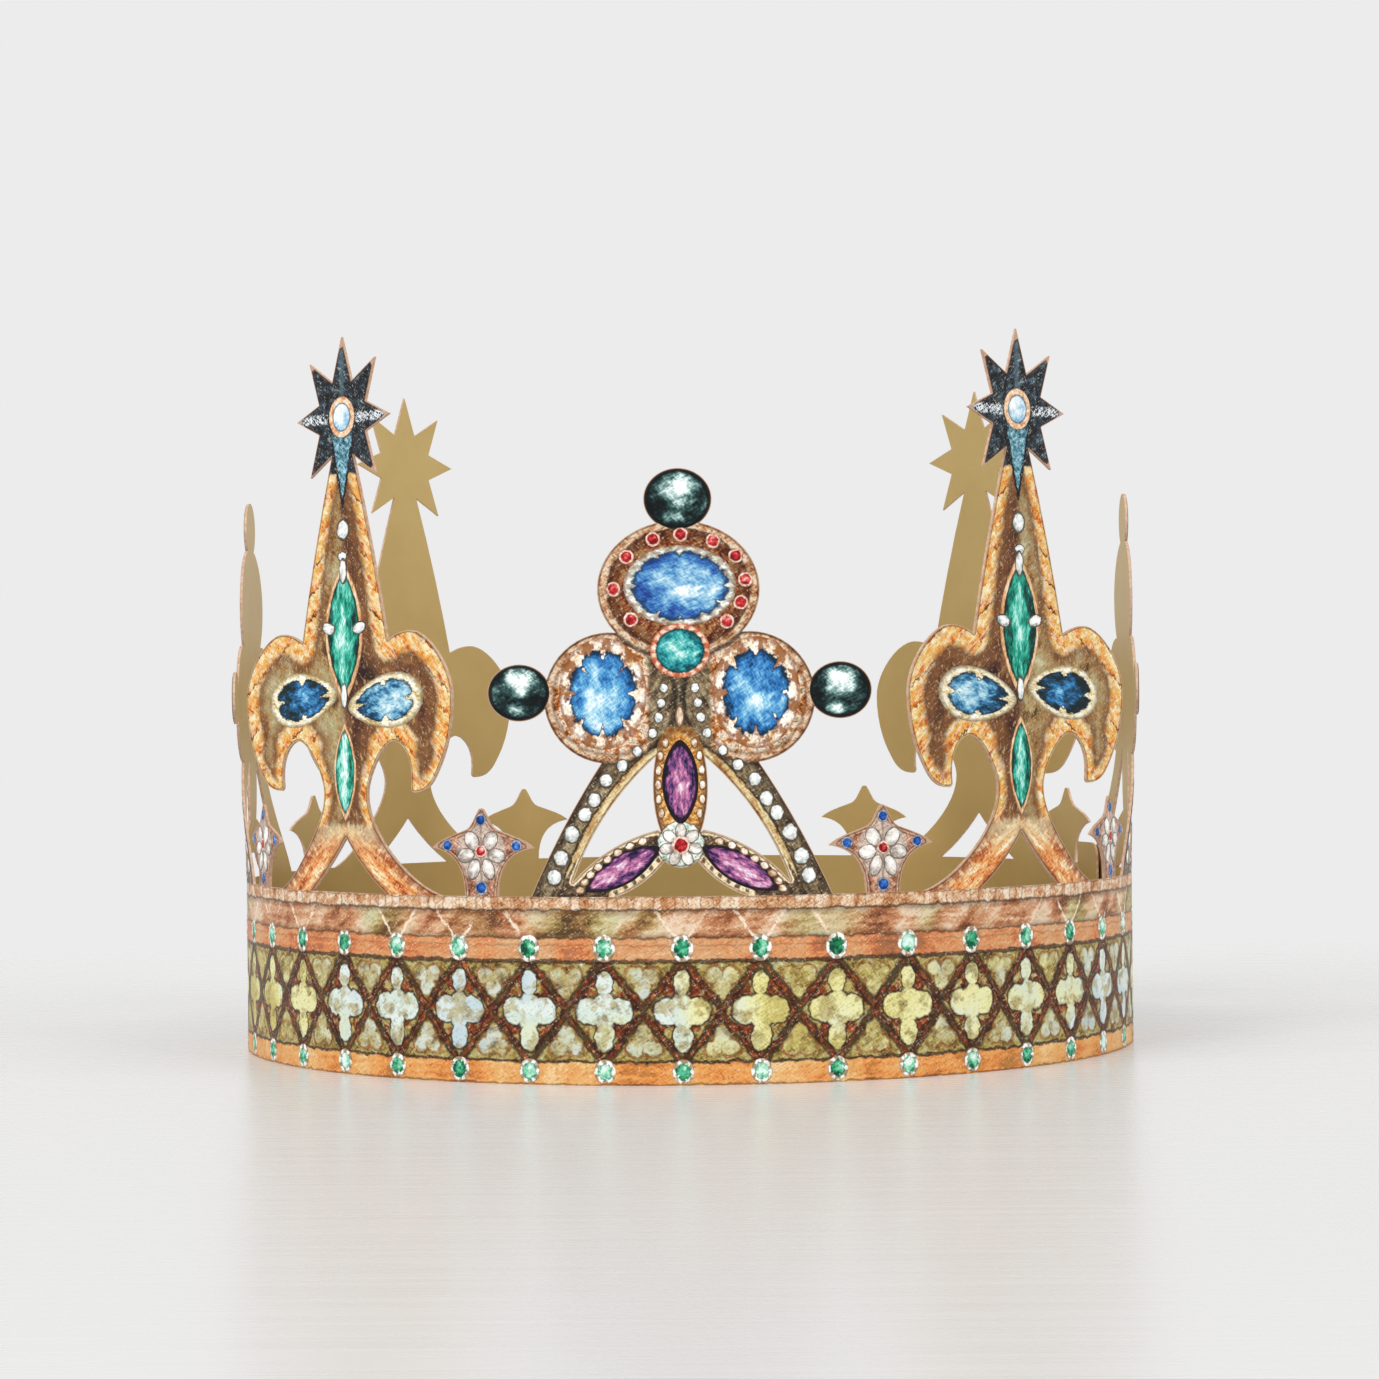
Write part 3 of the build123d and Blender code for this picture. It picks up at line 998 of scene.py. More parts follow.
@dataclass(frozen=True)
class FleurPrint:
    """Paint of a tall fleur: rope borders round brown fields, a dark star, and orange feet."""

    inks: PrintInks = PrintInks()
    dark_field: str = "22110D 3C1E16 562E1E 70462A 8A6440"
    green_field: str = "422C1A 745430 9A7C4A B0986A A8A47A C6BC96"
    field_glow: str = "8E5C30"
    field_shade: str = "3C1E16"
    straw: str = "D2AE74"
    rope: str = "AE521E DE8430 EBA44C D8B468 F0D090 F5E4BA FAF3E0"
    rope_lay: str = "33221A"
    rope_shade: str = "A0622C"
    rope_light: str = "F2E2BE"
    rope_line: str = "4A2C1C"
    feet: str = "8E4020 CC6E34 E49450 E6B478 F0D6A6 F8EED8"
    slash: str = "8E3216"
    slash_light: str = "FAF0DC"
    foot_pale: str = "D6CCA2"
    foot_line: str = "8A4A26"
    star: str = "07090B 10151A 1D262E 35444E 66808C"
    ridge: str = "66808C"
    fleck: str = "E4EAEE"
    dart: str = "173642 3E7282 7CB0C0 C0DEE4"
    dart_edge: str = "10151A"
    border_width: float = 4.1
    neck_border: float = 2.4
    neck_height: float = 61.0
    head_height: float = 94.0
    rope_pitch: float = 4.6
    feet_height: float = 48.6
    foot_pale_height: float = 43.5
    slash_start: float = 38.3
    star_foot: float = 112.6
    star_middle: float = 123.0
    dart_tip: float = 105.5
    dart_end: float = 119.5

    def border(self, paint: PrintPaint, within: Value, streak: Value, blotch: Value) -> Socket:
        """Brown and green fields inside a border of painted rope.

        Args:
            paint: The print.
            within: Distance inwards from the rope's inner line, in millimetres.
            streak: Long blotches.
            blotch: Round blotches.

        Returns:
            The colour.
        """
        x, z, crossed = paint.x, paint.z, paint.crossed
        ground = paint.layers(
            paint.field(x, z, self.dark_field, 5.0, 0.7, 0.75),
            (x.above(0.5, 1.4), paint.field(x, z, self.green_field, 5.0, 0.7, 0.75)),
            (within.below(2.4, 2.4) * blotch * 1.3, self.field_glow),
            (within.below(0.8, 1.1) * (crossed * 0.8 + 0.1), self.field_shade),
            (streak.above(0.62, 0.03) * 0.5, self.straw),
        )
        phase = paint.maths("FRACT", (z + abs(x) * 0.7 + (streak - 0.5) * 3.0) / self.rope_pitch)
        some = paint.noise(x, z, 52.0, 9.0, 1.0).above(0.47, 0.05)
        lay = phase.near(0.06, 0.045, 0.03) * crossed.above(0.42, 0.06)
        pale = paint.noise(abs(x) * 0.57 + z * 0.82, x * 0.7 - z * 0.5, 31.0, 1.4)
        rope = paint.layers(
            paint.ramp(phase * 0.12 + blotch * 0.52 + crossed * 0.36 - 0.035, self.rope, 0.36, 0.62),
            (lay * some * z.above(self.neck_height, 2.0), self.rope_lay),
            (within.above(-0.9, 0.7) * 0.5, self.rope_shade),
            (pale.above(0.55, 0.05) * (crossed * 0.9 + 0.1), self.rope_light),
        )
        rope_edge = within + (crossed - 0.5) * 3.0 + (blotch - 0.5) * 2.0
        line = rope_edge.near(0.2, 0.3, 0.4) * (crossed * 2.4 - 0.9)
        return paint.layers(ground, (rope_edge.below(0.0, 0.6), rope), (line.at_least(0.0), self.rope_line))

    def foot(self, paint: PrintPaint, drawn_edge: Value, blotch: Value) -> Socket:
        """Orange strokes that run down and outwards.

        Args:
            paint: The print.
            drawn_edge: Distance from the cut edge in millimetres.
            blotch: Round blotches.

        Returns:
            The colour.
        """
        along, across = abs(paint.x) * 0.8 - paint.z * 0.6, abs(paint.x) * 0.6 + paint.z * 0.8
        slash = paint.noise(along, across / 2.2, 21.0, 1.5, 4.0)
        return paint.layers(
            paint.field(along, across, self.feet, 1.3, 4.0),
            (across.above(self.slash_start, 0.6) * slash.above(0.46, 0.05) * 0.65, self.slash),
            (across.above(self.slash_start + 1.0, 0.5) * slash.below(0.42, 0.06) * 0.6, self.slash_light),
            (paint.z.above(self.foot_pale_height, 4.0) * blotch * 1.3, self.foot_pale),
            (drawn_edge.below(0.9, 0.4) * (paint.crossed * 0.9 + 0.1), self.foot_line),
        )

    def head(self, paint: PrintPaint) -> Socket:
        """The dark star, with a pale ridge up its middle and flecks beside its stone.

        Args:
            paint: The print.

        Returns:
            The colour.
        """
        x, z, crossed = paint.x, paint.z, paint.crossed
        ridge = abs(x).below(0.7, 0.5) * z.above(self.star_middle + 4.0, 1.0)
        flecks = z.near(self.star_middle, 0.9, 0.3) * abs(x).above(4.2, 0.4)
        return paint.layers(
            paint.field(x, z, self.star, 1.6),
            (ridge * crossed, self.ridge),
            (flecks * crossed.above(0.5, 0.03), self.fleck),
        )

    def material(self) -> bpy.types.Material:
        """The whole print. Its front side is at negative x.

        Returns:
            The material.
        """
        paint = PrintPaint("fleur_print", 0.55)
        x, z = paint.x, paint.z
        drawn_edge = paint.drawn_edge()
        streak = paint.noise(x, z * 0.4, 9.0, 0.9)
        blotch = paint.noise(x, z, paint.seed, 2.0)
        width = paint.mix_number(z.above(self.neck_height, 2.0), self.neck_border, self.border_width)
        within = drawn_edge - (width - z.above(self.head_height, 12.0) * 1.3)
        dart_width = abs(x) * 3.9 - (z - self.dart_tip)
        dart = paint.mix(dart_width.above(-2.6, 0.6), paint.field(x, z, self.dart, 0.9), self.dart_edge)
        colour = paint.layers(
            self.border(paint, within, streak, blotch),
            ((z + streak * 4.0).below(self.feet_height, 0.8), self.foot(paint, drawn_edge, blotch)),
            (z.above(self.star_foot, 0.25), self.head(paint)),
            (dart_width.below(0.0, 0.4) * z.below(self.dart_end, 1.0), dart),
        )
        return self.inks.close(paint, colour)


@dataclass(frozen=True)
class ArchPrint:
    """Paint of an arched ornament: rims round the lobes, grey legs, and dark leaves."""

    inks: PrintInks = PrintInks()
    rim: str = "5E321C 94603A B88862 D2B08E E8D6BE A88C66"
    rim_line: str = "5A3420"
    lobe: str = "46240F 82461E B06A30 C8925E F0E6D8 BCA67C 7E5A30"
    top: str = "2E120C 5A2416 8A4A26 A87848 8A7448"
    top_shade: str = "2E120C"
    top_line: str = "3A1A10"
    leg: str = "2A2019 4C3E2E 726048 928060 ACA080"
    seam: str = "1C2A26"
    sill: str = "8A5A34 BC9058 D8C490 EADFB8"
    pendant: str = "7A4218 B87430 DCA85A F2DDA8"
    pendant_line: str = "6A3E1C"
    leaf: str = "1E1613 3A2C22 5E4A36 8A7050"
    leaf_edge: str = "C9A878 EBD7AE F6EDD2"
    leaf_dot: str = "4A2A16"
    rosette: str = "6A8A74 B4CCBC EDF2EA FAFBF8"
    rosette_line: str = "3A2A20"
    shade: str = "241812"
    top_lobe: tuple[float, float, float] = (14.65, 12.4, 89.3)
    side_lobe: tuple[float, float, float] = (12.6, 69.8, 11.85)
    leg_line: tuple[float, float, float] = (2.8, 71.5, 0.594)
    lobe_start: float = 5.6
    top_line_end: float = 83.0
    seam_foot: float = 64.0
    sill_width: float = 1.7
    leaf_top: float = 47.5
    leaf_low_side: float = 45.1
    pendant_oval: tuple[float, float, float] = (4.95, 12.0, 53.8)
    pendant_top: float = 64.5
    rosette_radius: float = 4.2
    rosette_height: float = 43.3

    def legs(self, paint: PrintPaint) -> Socket:
        """Grey legs with a pale sill along each cut edge, and the leaves under the arch.

        Args:
            paint: The print.

        Returns:
            The colour.
        """
        x, z, crossed, drawn_edge = paint.x, paint.z, paint.crossed, paint.drawn_edge()
        side_x = abs(x)
        leg_start, leg_top, leg_slope = self.leg_line
        beside = side_x - leg_start - (leg_top - z) * leg_slope
        along, across = side_x * 0.51 - z * 0.86, side_x * 0.86 + z * 0.51

        low_side = (z + side_x * 0.58).below(self.leaf_low_side, 0.4)
        brim = paint.mix_number(low_side, 0.75, 1.5)
        dots = paint.maths("SINE", (side_x * 0.87 - z * 0.5) * 3.3) + (crossed - 0.5) * 3.0
        dotted = dots.above(0.35, 0.3) * low_side * drawn_edge.near(0.95, 0.4, 0.15)
        leaves = paint.layers(
            paint.field(x, z, self.leaf, 1.2),
            ((drawn_edge - brim).below(0.0, 0.15), paint.field(x, z, self.leaf_edge, 0.9)),
            (dotted * 0.9, self.leaf_dot),
        )
        sill = paint.field(along, across, self.sill, 1.1, 4.0)
        sill_line = drawn_edge.near(self.sill_width + 0.05, 0.2, 0.14) * beside.below(0.5, 0.4)
        return paint.layers(
            paint.field(along, across, self.leg, 1.2, 3.0),
            (drawn_edge.below(1.3, 0.5) * (crossed * 0.9 + 0.2), self.shade),
            (side_x.near(0.6, 0.5, 0.4) * z.above(self.seam_foot, 1.0) * 0.6, self.seam),
            (beside.below(-0.2, 0.3) * drawn_edge.below(self.sill_width, 0.2), sill),
            (sill_line * 0.85, self.shade),
            (beside.below(-2.2, 0.2) * z.below(self.leaf_top, 0.2), leaves),
        )

    def lobes(self, paint: PrintPaint, ground: Ink) -> Socket:
        """The side lobes and then the top lobe, each a mottled field inside a rim.

        Args:
            paint: The print.
            ground: What they are laid on.

        Returns:
            The colour.
        """
        x, z, crossed = paint.x, paint.z, paint.crossed
        side_x = abs(x)
        lobe_x, lobe_z, lobe_r = self.side_lobe
        from_lobe = paint.length((side_x - lobe_x) / lobe_r, (z - lobe_z) / lobe_r)
        lobe = paint.layers(
            paint.field(x, z, self.lobe, 1.7, 1.0, 0.65),
            (from_lobe.above(0.87, 0.02), paint.field(x, z, self.rim, 1.8)),
            (from_lobe.near(0.86, 0.025, 0.03) * (crossed * 2.4 - 0.6).at_least(0.0), self.rim_line),
        )
        top_w, top_h, top_z = self.top_lobe
        from_top = paint.length(x / top_w, (z - top_z) / top_h)
        top = paint.layers(
            paint.field(x, z, self.top, 1.8),
            (from_top.near(0.8, 0.06, 0.05) * (crossed * 0.8 + 0.1), self.top_shade),
            (from_top.above(0.87, 0.02), paint.field(x, z, self.rim, 2.0)),
            (from_top.near(0.87, 0.02, 0.015) * 0.85, self.top_line),
        )
        return paint.layers(
            ground,
            (from_lobe.below(1.0, 0.015) * side_x.above(self.lobe_start, 0.5), lobe),
            (from_lobe.near(1.0, 0.035, 0.03) * (crossed * 0.8 + 0.4), self.shade),
            (from_top.below(1.0, 0.015), top),
            (from_top.near(1.0, 0.03, 0.02) * z.below(self.top_line_end, 1.0) * 0.8, self.shade),
        )

    def middle(self, paint: PrintPaint, ground: Ink) -> Socket:
        """The setting of the hanging stone, and the rosette under it.

        Args:
            paint: The print.
            ground: What they are laid on.

        Returns:
            The colour.
        """
        x, z, crossed = paint.x, paint.z, paint.crossed
        wide, tall, height = self.pendant_oval
        from_pendant = paint.length(x / wide, (z - height) / tall)
        edge = from_pendant.above(0.8, 0.06) * crossed * 1.4
        pendant = paint.mix(edge, paint.field(x, z, self.pendant, 1.0), self.pendant_line)
        from_rosette = paint.length(x, z - self.rosette_height)
        return paint.layers(
            ground,
            (from_pendant.below(1.0, 0.03) * z.below(self.pendant_top, 0.4), pendant),
            (from_rosette.below(self.rosette_radius, 0.15), paint.field(x, z, self.rosette, 0.9)),
            (from_rosette.near(self.rosette_radius, 0.14, 0.1) * crossed * 1.4, self.rosette_line),
        )

    def material(self) -> bpy.types.Material:
        """The whole print."""
        paint = PrintPaint("arch_print", 0.5)
        return self.inks.close(paint, self.middle(paint, self.lobes(paint, self.legs(paint))))


@dataclass(frozen=True)
class SprigPrint:
    """Paint of a small sprig: a rosy ground inside a cream border."""

    inks: PrintInks = PrintInks()
    ground: str = "4E2A1E 82523E AA765C CA9A7E E2BEA8"
    border: str = "9A684C C69678 E2C0A8"
    blossom: str = "E4DED2"
    stem: str = "4A3026"
    line: str = "4E2C20"
    stem_height: float = 42.2
    blossom_oval: tuple[float, float, float] = (5.0, 5.2, 41.8)
    border_width: float = 0.65

    def material(self) -> bpy.types.Material:
        """The whole print.

        Returns:
            The material.
        """
        paint = PrintPaint("sprig_print", 0.35)
        x, z, crossed, drawn_edge = paint.x, paint.z, paint.crossed, paint.drawn_edge(0.6)
        wide, tall, height = self.blossom_oval
        stem = abs(x).below(0.25, 0.15) + z.near(self.stem_height, 0.2, 0.15)
        blossom = paint.length(x / wide, (z - height) / tall).below(1.0, 0.08)
        colour = paint.layers(
            paint.field(x, z, self.ground, 1.2),
            (blossom * crossed, self.blossom),
            (stem * blossom * crossed, self.stem),
            (drawn_edge.near(self.border_width + 0.15, 0.16, 0.16) * crossed, self.line),
            (drawn_edge.below(self.border_width, 0.12), paint.field(x, z, self.border, 1.0)),
        )
        return self.inks.close(paint, colour)


@dataclass(frozen=True)
class BandPrint:
    """Paint of the band: two orange rails, a lattice with quatrefoil openings, and a beaded top."""

    inks: PrintInks = PrintInks()
    pitch: float = 2.0 * math.pi * RING_RADIUS / STONES_ROUND
    low_rail: float = 4.25
    lattice_top: float = 22.3
    high_rail: float = 26.5
    strip_top: float = 31.6
    rail_line: float = 1.3
    rim_gap: float = 0.15
    bead_pitch: float = 1.7
    yellowest: float = 32.0
    tone_rounds: float = 4.0
    foil_ovals: tuple[tuple[float, ...], ...] = (
        (0.0, 5.2, 1.5, 2.3), (0.0, -4.7, 1.8, 2.6), (2.7, 0.1, 2.5, 2.5), (0.0, 0.0, 2.4, 3.4),
    )
    corner_ovals: tuple[tuple[float, ...], ...] = ((0.0, -4.6, 1.5, 2.0), (-1.5, -2.5, 1.5, 1.4))
    rust: str = "38190F 5E2A16 8A421F B0622E"
    rail: str = "8A5A34 B85A2A DA7E3E E29C5E DCA46C E6BE84 F0DAB0"
    low_wash: str = "E4A654"
    high_wash: str = "C48C68"
    rosy: str = "66402A 985C3A C0845C D4AA86 E6CCB2 CEB694"
    olive: str = "4E3E20 86703E A8945C C0B482 CFC8A0 B4B890"
    strip_shade: str = "5E4026"
    strip_stroke: str = "F0DCC4"
    strip_edge: str = "6A3A20"
    bead: str = "7E4A28 B27446 C89870 DCBC9A F0E2D0 B8A084"
    bead_gap: str = "8A5434"
    back: str = "463618 7A6430 9C8646 B6A460 AAA472 C6C494"
    foil: str = "C2B466 DCD68E E6E4AE D8E0C4 CBDCD4 E0EAE4 C0D4DA"
    line: str = "2A1710"

    def across(self, paint: PrintPaint) -> Value:
        """Distance round the band from the nearest stone, in millimetres."""
        return abs(paint.maths("WRAP", paint.x, self.pitch / 2.0, -self.pitch / 2.0))

    def nearest(self, paint: PrintPaint, x: Value, y: Value, ovals: tuple[tuple[float, ...], ...]) -> Value:
        """How far a place is from the nearest of some ovals: 0 in its middle and 1 on its line.

        Args:
            paint: The print.
            x: Across, in millimetres.
            y: Up, in millimetres.
            ovals: Place across, place up, half width and half height of each.

        Returns:
            The distance.
        """
        shares = [paint.length((x - left) / wide, (y - low) / tall) for left, low, wide, tall in ovals]
        nearest = shares[0]
        for share in shares[1:]:
            nearest = paint.maths("MINIMUM", nearest, share)
        return nearest

    def lattice(self, paint: PrintPaint) -> Socket:
        """Slanting ribs with a four-lobed opening in each diamond, and parts of openings above and below.

        Args:
            paint: The print.

        Returns:
            The colour. It runs from yellow to blue and back, tone_rounds times round the band.
        """
        s, z, crossed, x = paint.x, paint.z, paint.crossed, self.across(paint)
        slow = paint.maths("COSINE", (s - self.yellowest) * (self.tone_rounds / RING_RADIUS))
        drift = paint.noise(s, z, 50.0, 14.0, 1.0) * 0.6 + 0.2 - slow * 0.13
        half_x, half_z = self.pitch / 2.0, (self.lattice_top - self.low_rail) / 2.0
        y = z - (self.low_rail + self.lattice_top) / 2.0
        diamond = x / half_x + abs(y) / half_z
        foil = self.nearest(paint, x, y, self.foil_ovals)
        corner = self.nearest(paint, x - half_x, abs(y) - half_z, self.corner_ovals)

        back, rust = paint.field(s, z, self.back, 1.9), paint.field(s, z, self.rust, 1.2)
        stain = paint.noise(s, z, 31.0, 3.0, 4.0).above(0.53, 0.07) * 0.75
        pale = paint.mix(stain, paint.ramp(drift * 1.2 + crossed * 0.4 - 0.3, self.foil, 0.3, 0.72), back)
        faint = paint.noise(s, z, 71.0, 5.0, 2.0).above(0.48, 0.07) * 0.55 + 0.2
        patchy = paint.noise(s, z, 12.0, 2.2, 2.0).above(0.475, 0.05)
        from_rib = abs(diamond - 1.05)
        rib = paint.noise(s, z, 27.0, 2.6, 2.0) * 0.3 - 0.115
        return paint.layers(
            back,
            (corner.below(0.95, 0.16) * faint, pale),
            (corner.near(1.2, 0.2, 0.12) * crossed.above(0.5, 0.04), rust),
            (foil.above(1.0, 0.04) * diamond.below(1.0, 0.05) * patchy, rust),
            (foil.below(1.0, 0.05), pale),
            (foil.near(1.03, 0.09, 0.07) * (crossed * 1.4 + 0.15), self.line),
            (from_rib.below(0.15, 0.05) * (crossed + 0.4), self.line),
            ((from_rib - rib).below(0.0, 0.03), rust),
        )

    def top(self, paint: PrintPaint) -> Socket:
        """Painted strip with pale strokes that rise from each stone.

        Args:
            paint: The print.

        Returns:
            The colour.
        """
        s, z, crossed = paint.x, paint.z, paint.crossed
        slanting = paint.noise(s / 1.6 - z * 0.5, z * 0.5, 44.0, 5.0, 2.0)
        level = paint.noise(s / 8.0, z, 45.0, 0.9)
        wash = slanting * 0.55 + level * 0.25 + crossed * 0.2
        region = paint.noise(s, z * 0.5, 46.0, 26.0, 2.0).above(0.51, 0.06)
        some = paint.noise(s, 3.0, 70.0, 9.0, 1.0).above(0.47, 0.03)
        rising = (self.across(paint) - (z - self.high_rail) * 0.75).near(1.0, 0.34, 0.16)
        return paint.layers(
            paint.ramp(wash, self.rosy),
            (region, paint.ramp(wash, self.olive)),
            (z.below(self.high_rail + 0.5, 0.9) * (crossed * 1.2), self.strip_shade),
            (rising * crossed.above(0.44, 0.05) * some, self.strip_stroke),
            (z.above(self.strip_top - 0.9, 0.5) * 0.5, self.strip_edge),
        )

    def beading(self, paint: PrintPaint) -> Socket:
        """Row of small painted blocks along the top edge, each in its own tone.

        Args:
            paint: The print.

        Returns:
            The colour.
        """
        s = paint.x
        number = (s + (paint.noise(s, 0.0, 61.0, 3.0, 1.0) - 0.5) * 3.0) / self.bead_pitch
        tone = paint.noise(paint.maths("FLOOR", number) * 3.7, 0.0, 9.0, 1.0, 0.0)
        patch = paint.noise(s, paint.z, 62.0, 2.4, 4.0)
        some = paint.noise(s, 0.0, 63.0, 7.0, 2.0).above(0.46, 0.06)
        gap = abs(paint.maths("FRACT", number) - 0.5).above(0.42, 0.06)
        bead = paint.ramp(tone * 0.25 + patch * 0.35 + paint.crossed * 0.4, self.bead)
        return paint.mix(gap * some * 0.6, bead, self.bead_gap)

    def material(self) -> bpy.types.Material:
        """The whole print. Across runs round the band.

        Returns:
            The material.
        """
        paint = PrintPaint("band_print", 0.75, 1.8)
        s, z = paint.x, paint.z
        wash = paint.noise(s, z * 0.5, 5.0, 9.0, 2.0)
        stroke = paint.noise(s / 7.0, z, 15.0, 0.9, 4.0)
        rail = paint.ramp(wash * 0.45 + stroke * 0.3 + paint.crossed * 0.25, self.rail)
        broken = paint.crossed * 1.6 - 0.2
        lines = (
            (self.low_rail, 0.3, 1.5), (self.lattice_top, 0.42, 1.4), (self.high_rail, 0.2, 1.0),
            (self.strip_top, 0.22, 1.2), (BAND_HEIGHT - self.rim_gap, 0.12, 1.0), (self.rim_gap, 0.2, 1.0),
            (self.high_rail - self.rail_line, 0.12, 0.6),
        )
        colour = paint.layers(
            self.lattice(paint),
            (z.below(self.low_rail, 0.12), paint.mix(stroke * 0.8, rail, self.low_wash)),
            (z.above(self.lattice_top, 0.12), paint.mix(wash * 0.9, rail, self.high_wash)),
            (z.above(self.high_rail, 0.12), self.top(paint)),
            (z.above(self.strip_top, 0.1), self.beading(paint)),
            *((z.near(height, width, 0.16) * broken * share, self.line) for height, width, share in lines),
        )
        return self.inks.close(paint, colour)


@dataclass
class Band:
    """Ring of the band, with its print and the row of stones on each rail."""

    lock_angle: float = 112.1
    lock_half_gap: float = 1.0
    lock_clear: float = 2.0
    columns: int = 480
    heights: tuple[float, ...] = (0.0, 0.4, 11.0, 23.0, 33.6, BAND_HEIGHT)
    lifts: tuple[float, ...] = (0.03, 0.07, 0.07, 0.07, 0.07, 0.07)
    rail_stones: tuple[tuple[float, ...], ...] = ((24.7, 2.1, 2.5), (2.5, 2.0, 2.25))
    finish: BandPrint = BandPrint()

    def build(self) -> bpy.types.Object:
        """The film on the ring: a grid of columns round it and rows up it, each point at radius + lift.

        Returns:
            The film's object.
        """
        start = self.lock_angle - 360.0 + self.lock_half_gap
        angles = np.radians(np.linspace(start, self.lock_angle - self.lock_half_gap, self.columns + 1))
        out = RING_RADIUS + CARD / 2.0 + np.array(self.lifts)
        x, y = np.outer(np.sin(angles), out), np.outer(-np.cos(angles), out)
        z = np.broadcast_to(self.heights, x.shape)
        points = np.stack([x, y, z], axis=-1).reshape(-1, 3) * MM
        rows = len(self.heights)
        corner = (np.arange(self.columns)[:, None] * rows + np.arange(rows - 1)).ravel()
        faces = np.stack([corner, corner + rows, corner + rows + 1, corner + 1], axis=1)
        piece = new_piece("band_print", points, faces, self.finish.material())
        add_map(piece, SHEET_MAP, np.stack([np.repeat(angles * RING_RADIUS, rows), z.ravel()], axis=1))
        return piece

    def add_stones(self, rail_set: StoneSet) -> None:
        """Hands both rows of stones to their set, clear of the lock.

        Args:
            rail_set: The set of the rails' kind of stone.
        """
        for angle in (i * 360.0 / STONES_ROUND for i in range(STONES_ROUND)):
            if abs(angle - self.lock_angle) > self.lock_clear:
                for height, half_width, half_height in self.rail_stones:
                    rail_set.add(Stone(rail_set.kind, 0.0, height, half_width, half_height), Wall(), angle)


@dataclass
class Ornament:
    """One kind of ornament: its places round the ring, and its sheet's bend, print and stones."""

    name: str
    angles: tuple[float, ...]
    reach: float
    wall: Wall
    finish: Union[FleurPrint, ArchPrint, SprigPrint]
    stones: list[Stone]

    def build(self, outlines: Outlines, sets: dict[Kind, StoneSet]) -> list[bpy.types.Object]:
        """Builds a film for each place, and hands its stones to their sets.

        Args:
            outlines: The card's cut edges.
            sets: The set for each kind of stone.

        Returns:
            The films.
        """
        material = self.finish.material()
        films = []
        for number, angle in enumerate(self.angles, 1):
            side = -1.0 if angle < 0 else 1.0
            ends = outlines.of_ornament(angle, self.reach)
            films.append(Film(self.wall).build(f"{self.name}_print_{number}", ends, angle, side, material))
            for stone in self.stones:
                sets[stone.kind].add(stone, self.wall, angle, side)
        return films


def fleur() -> Ornament:
    """The four tall fleurs. The front of each is at negative x.

    Returns:
        The ornament, with its stones from the star down.
    """
    stones = [
        Stone(Kind.MOONSTONE, 0.0, 123.2, 3.8, 3.9),
        Stone(Kind.PEARL, 0.0, 102.0, 1.9, 2.1),
        Stone(Kind.PEARL, 0.2, 97.0, 1.5, 1.0),
        Stone(Kind.EMERALD, 0.0, 82.7, 5.6, 13.5, pointed=1.0),
        Stone(Kind.PEARL, 0.0, 94.3, 1.2, 2.6, layer=1.0),
        Stone(Kind.PEARL, 0.0, 70.9, 1.1, 2.5, layer=1.0),
        Stone(Kind.PEARL, -4.6, 83.6, 2.1, 1.25, turn=-12.0, layer=1.0),
        Stone(Kind.PEARL, 4.4, 83.6, 2.1, 1.25, turn=12.0, layer=1.0),
        Stone(Kind.PALE_DROP, -11.8, 69.8, 6.3, 10.8, turn=84.0, pointed=0.15, taper=0.42),
        Stone(Kind.BLUE_DROP, 12.5, 70.3, 6.2, 10.4, turn=-96.0, pointed=0.15, taper=0.38),
        Stone(Kind.EMERALD, 0.0, 56.6, 3.3, 9.4, pointed=1.0),
    ]
    wall = Wall(flat_height=16.0, flat_radius=1500.0)
    return Ornament("fleur", (44.5, -44.5, 134.7, -134.7), 6.0, wall, FleurPrint(), stones)


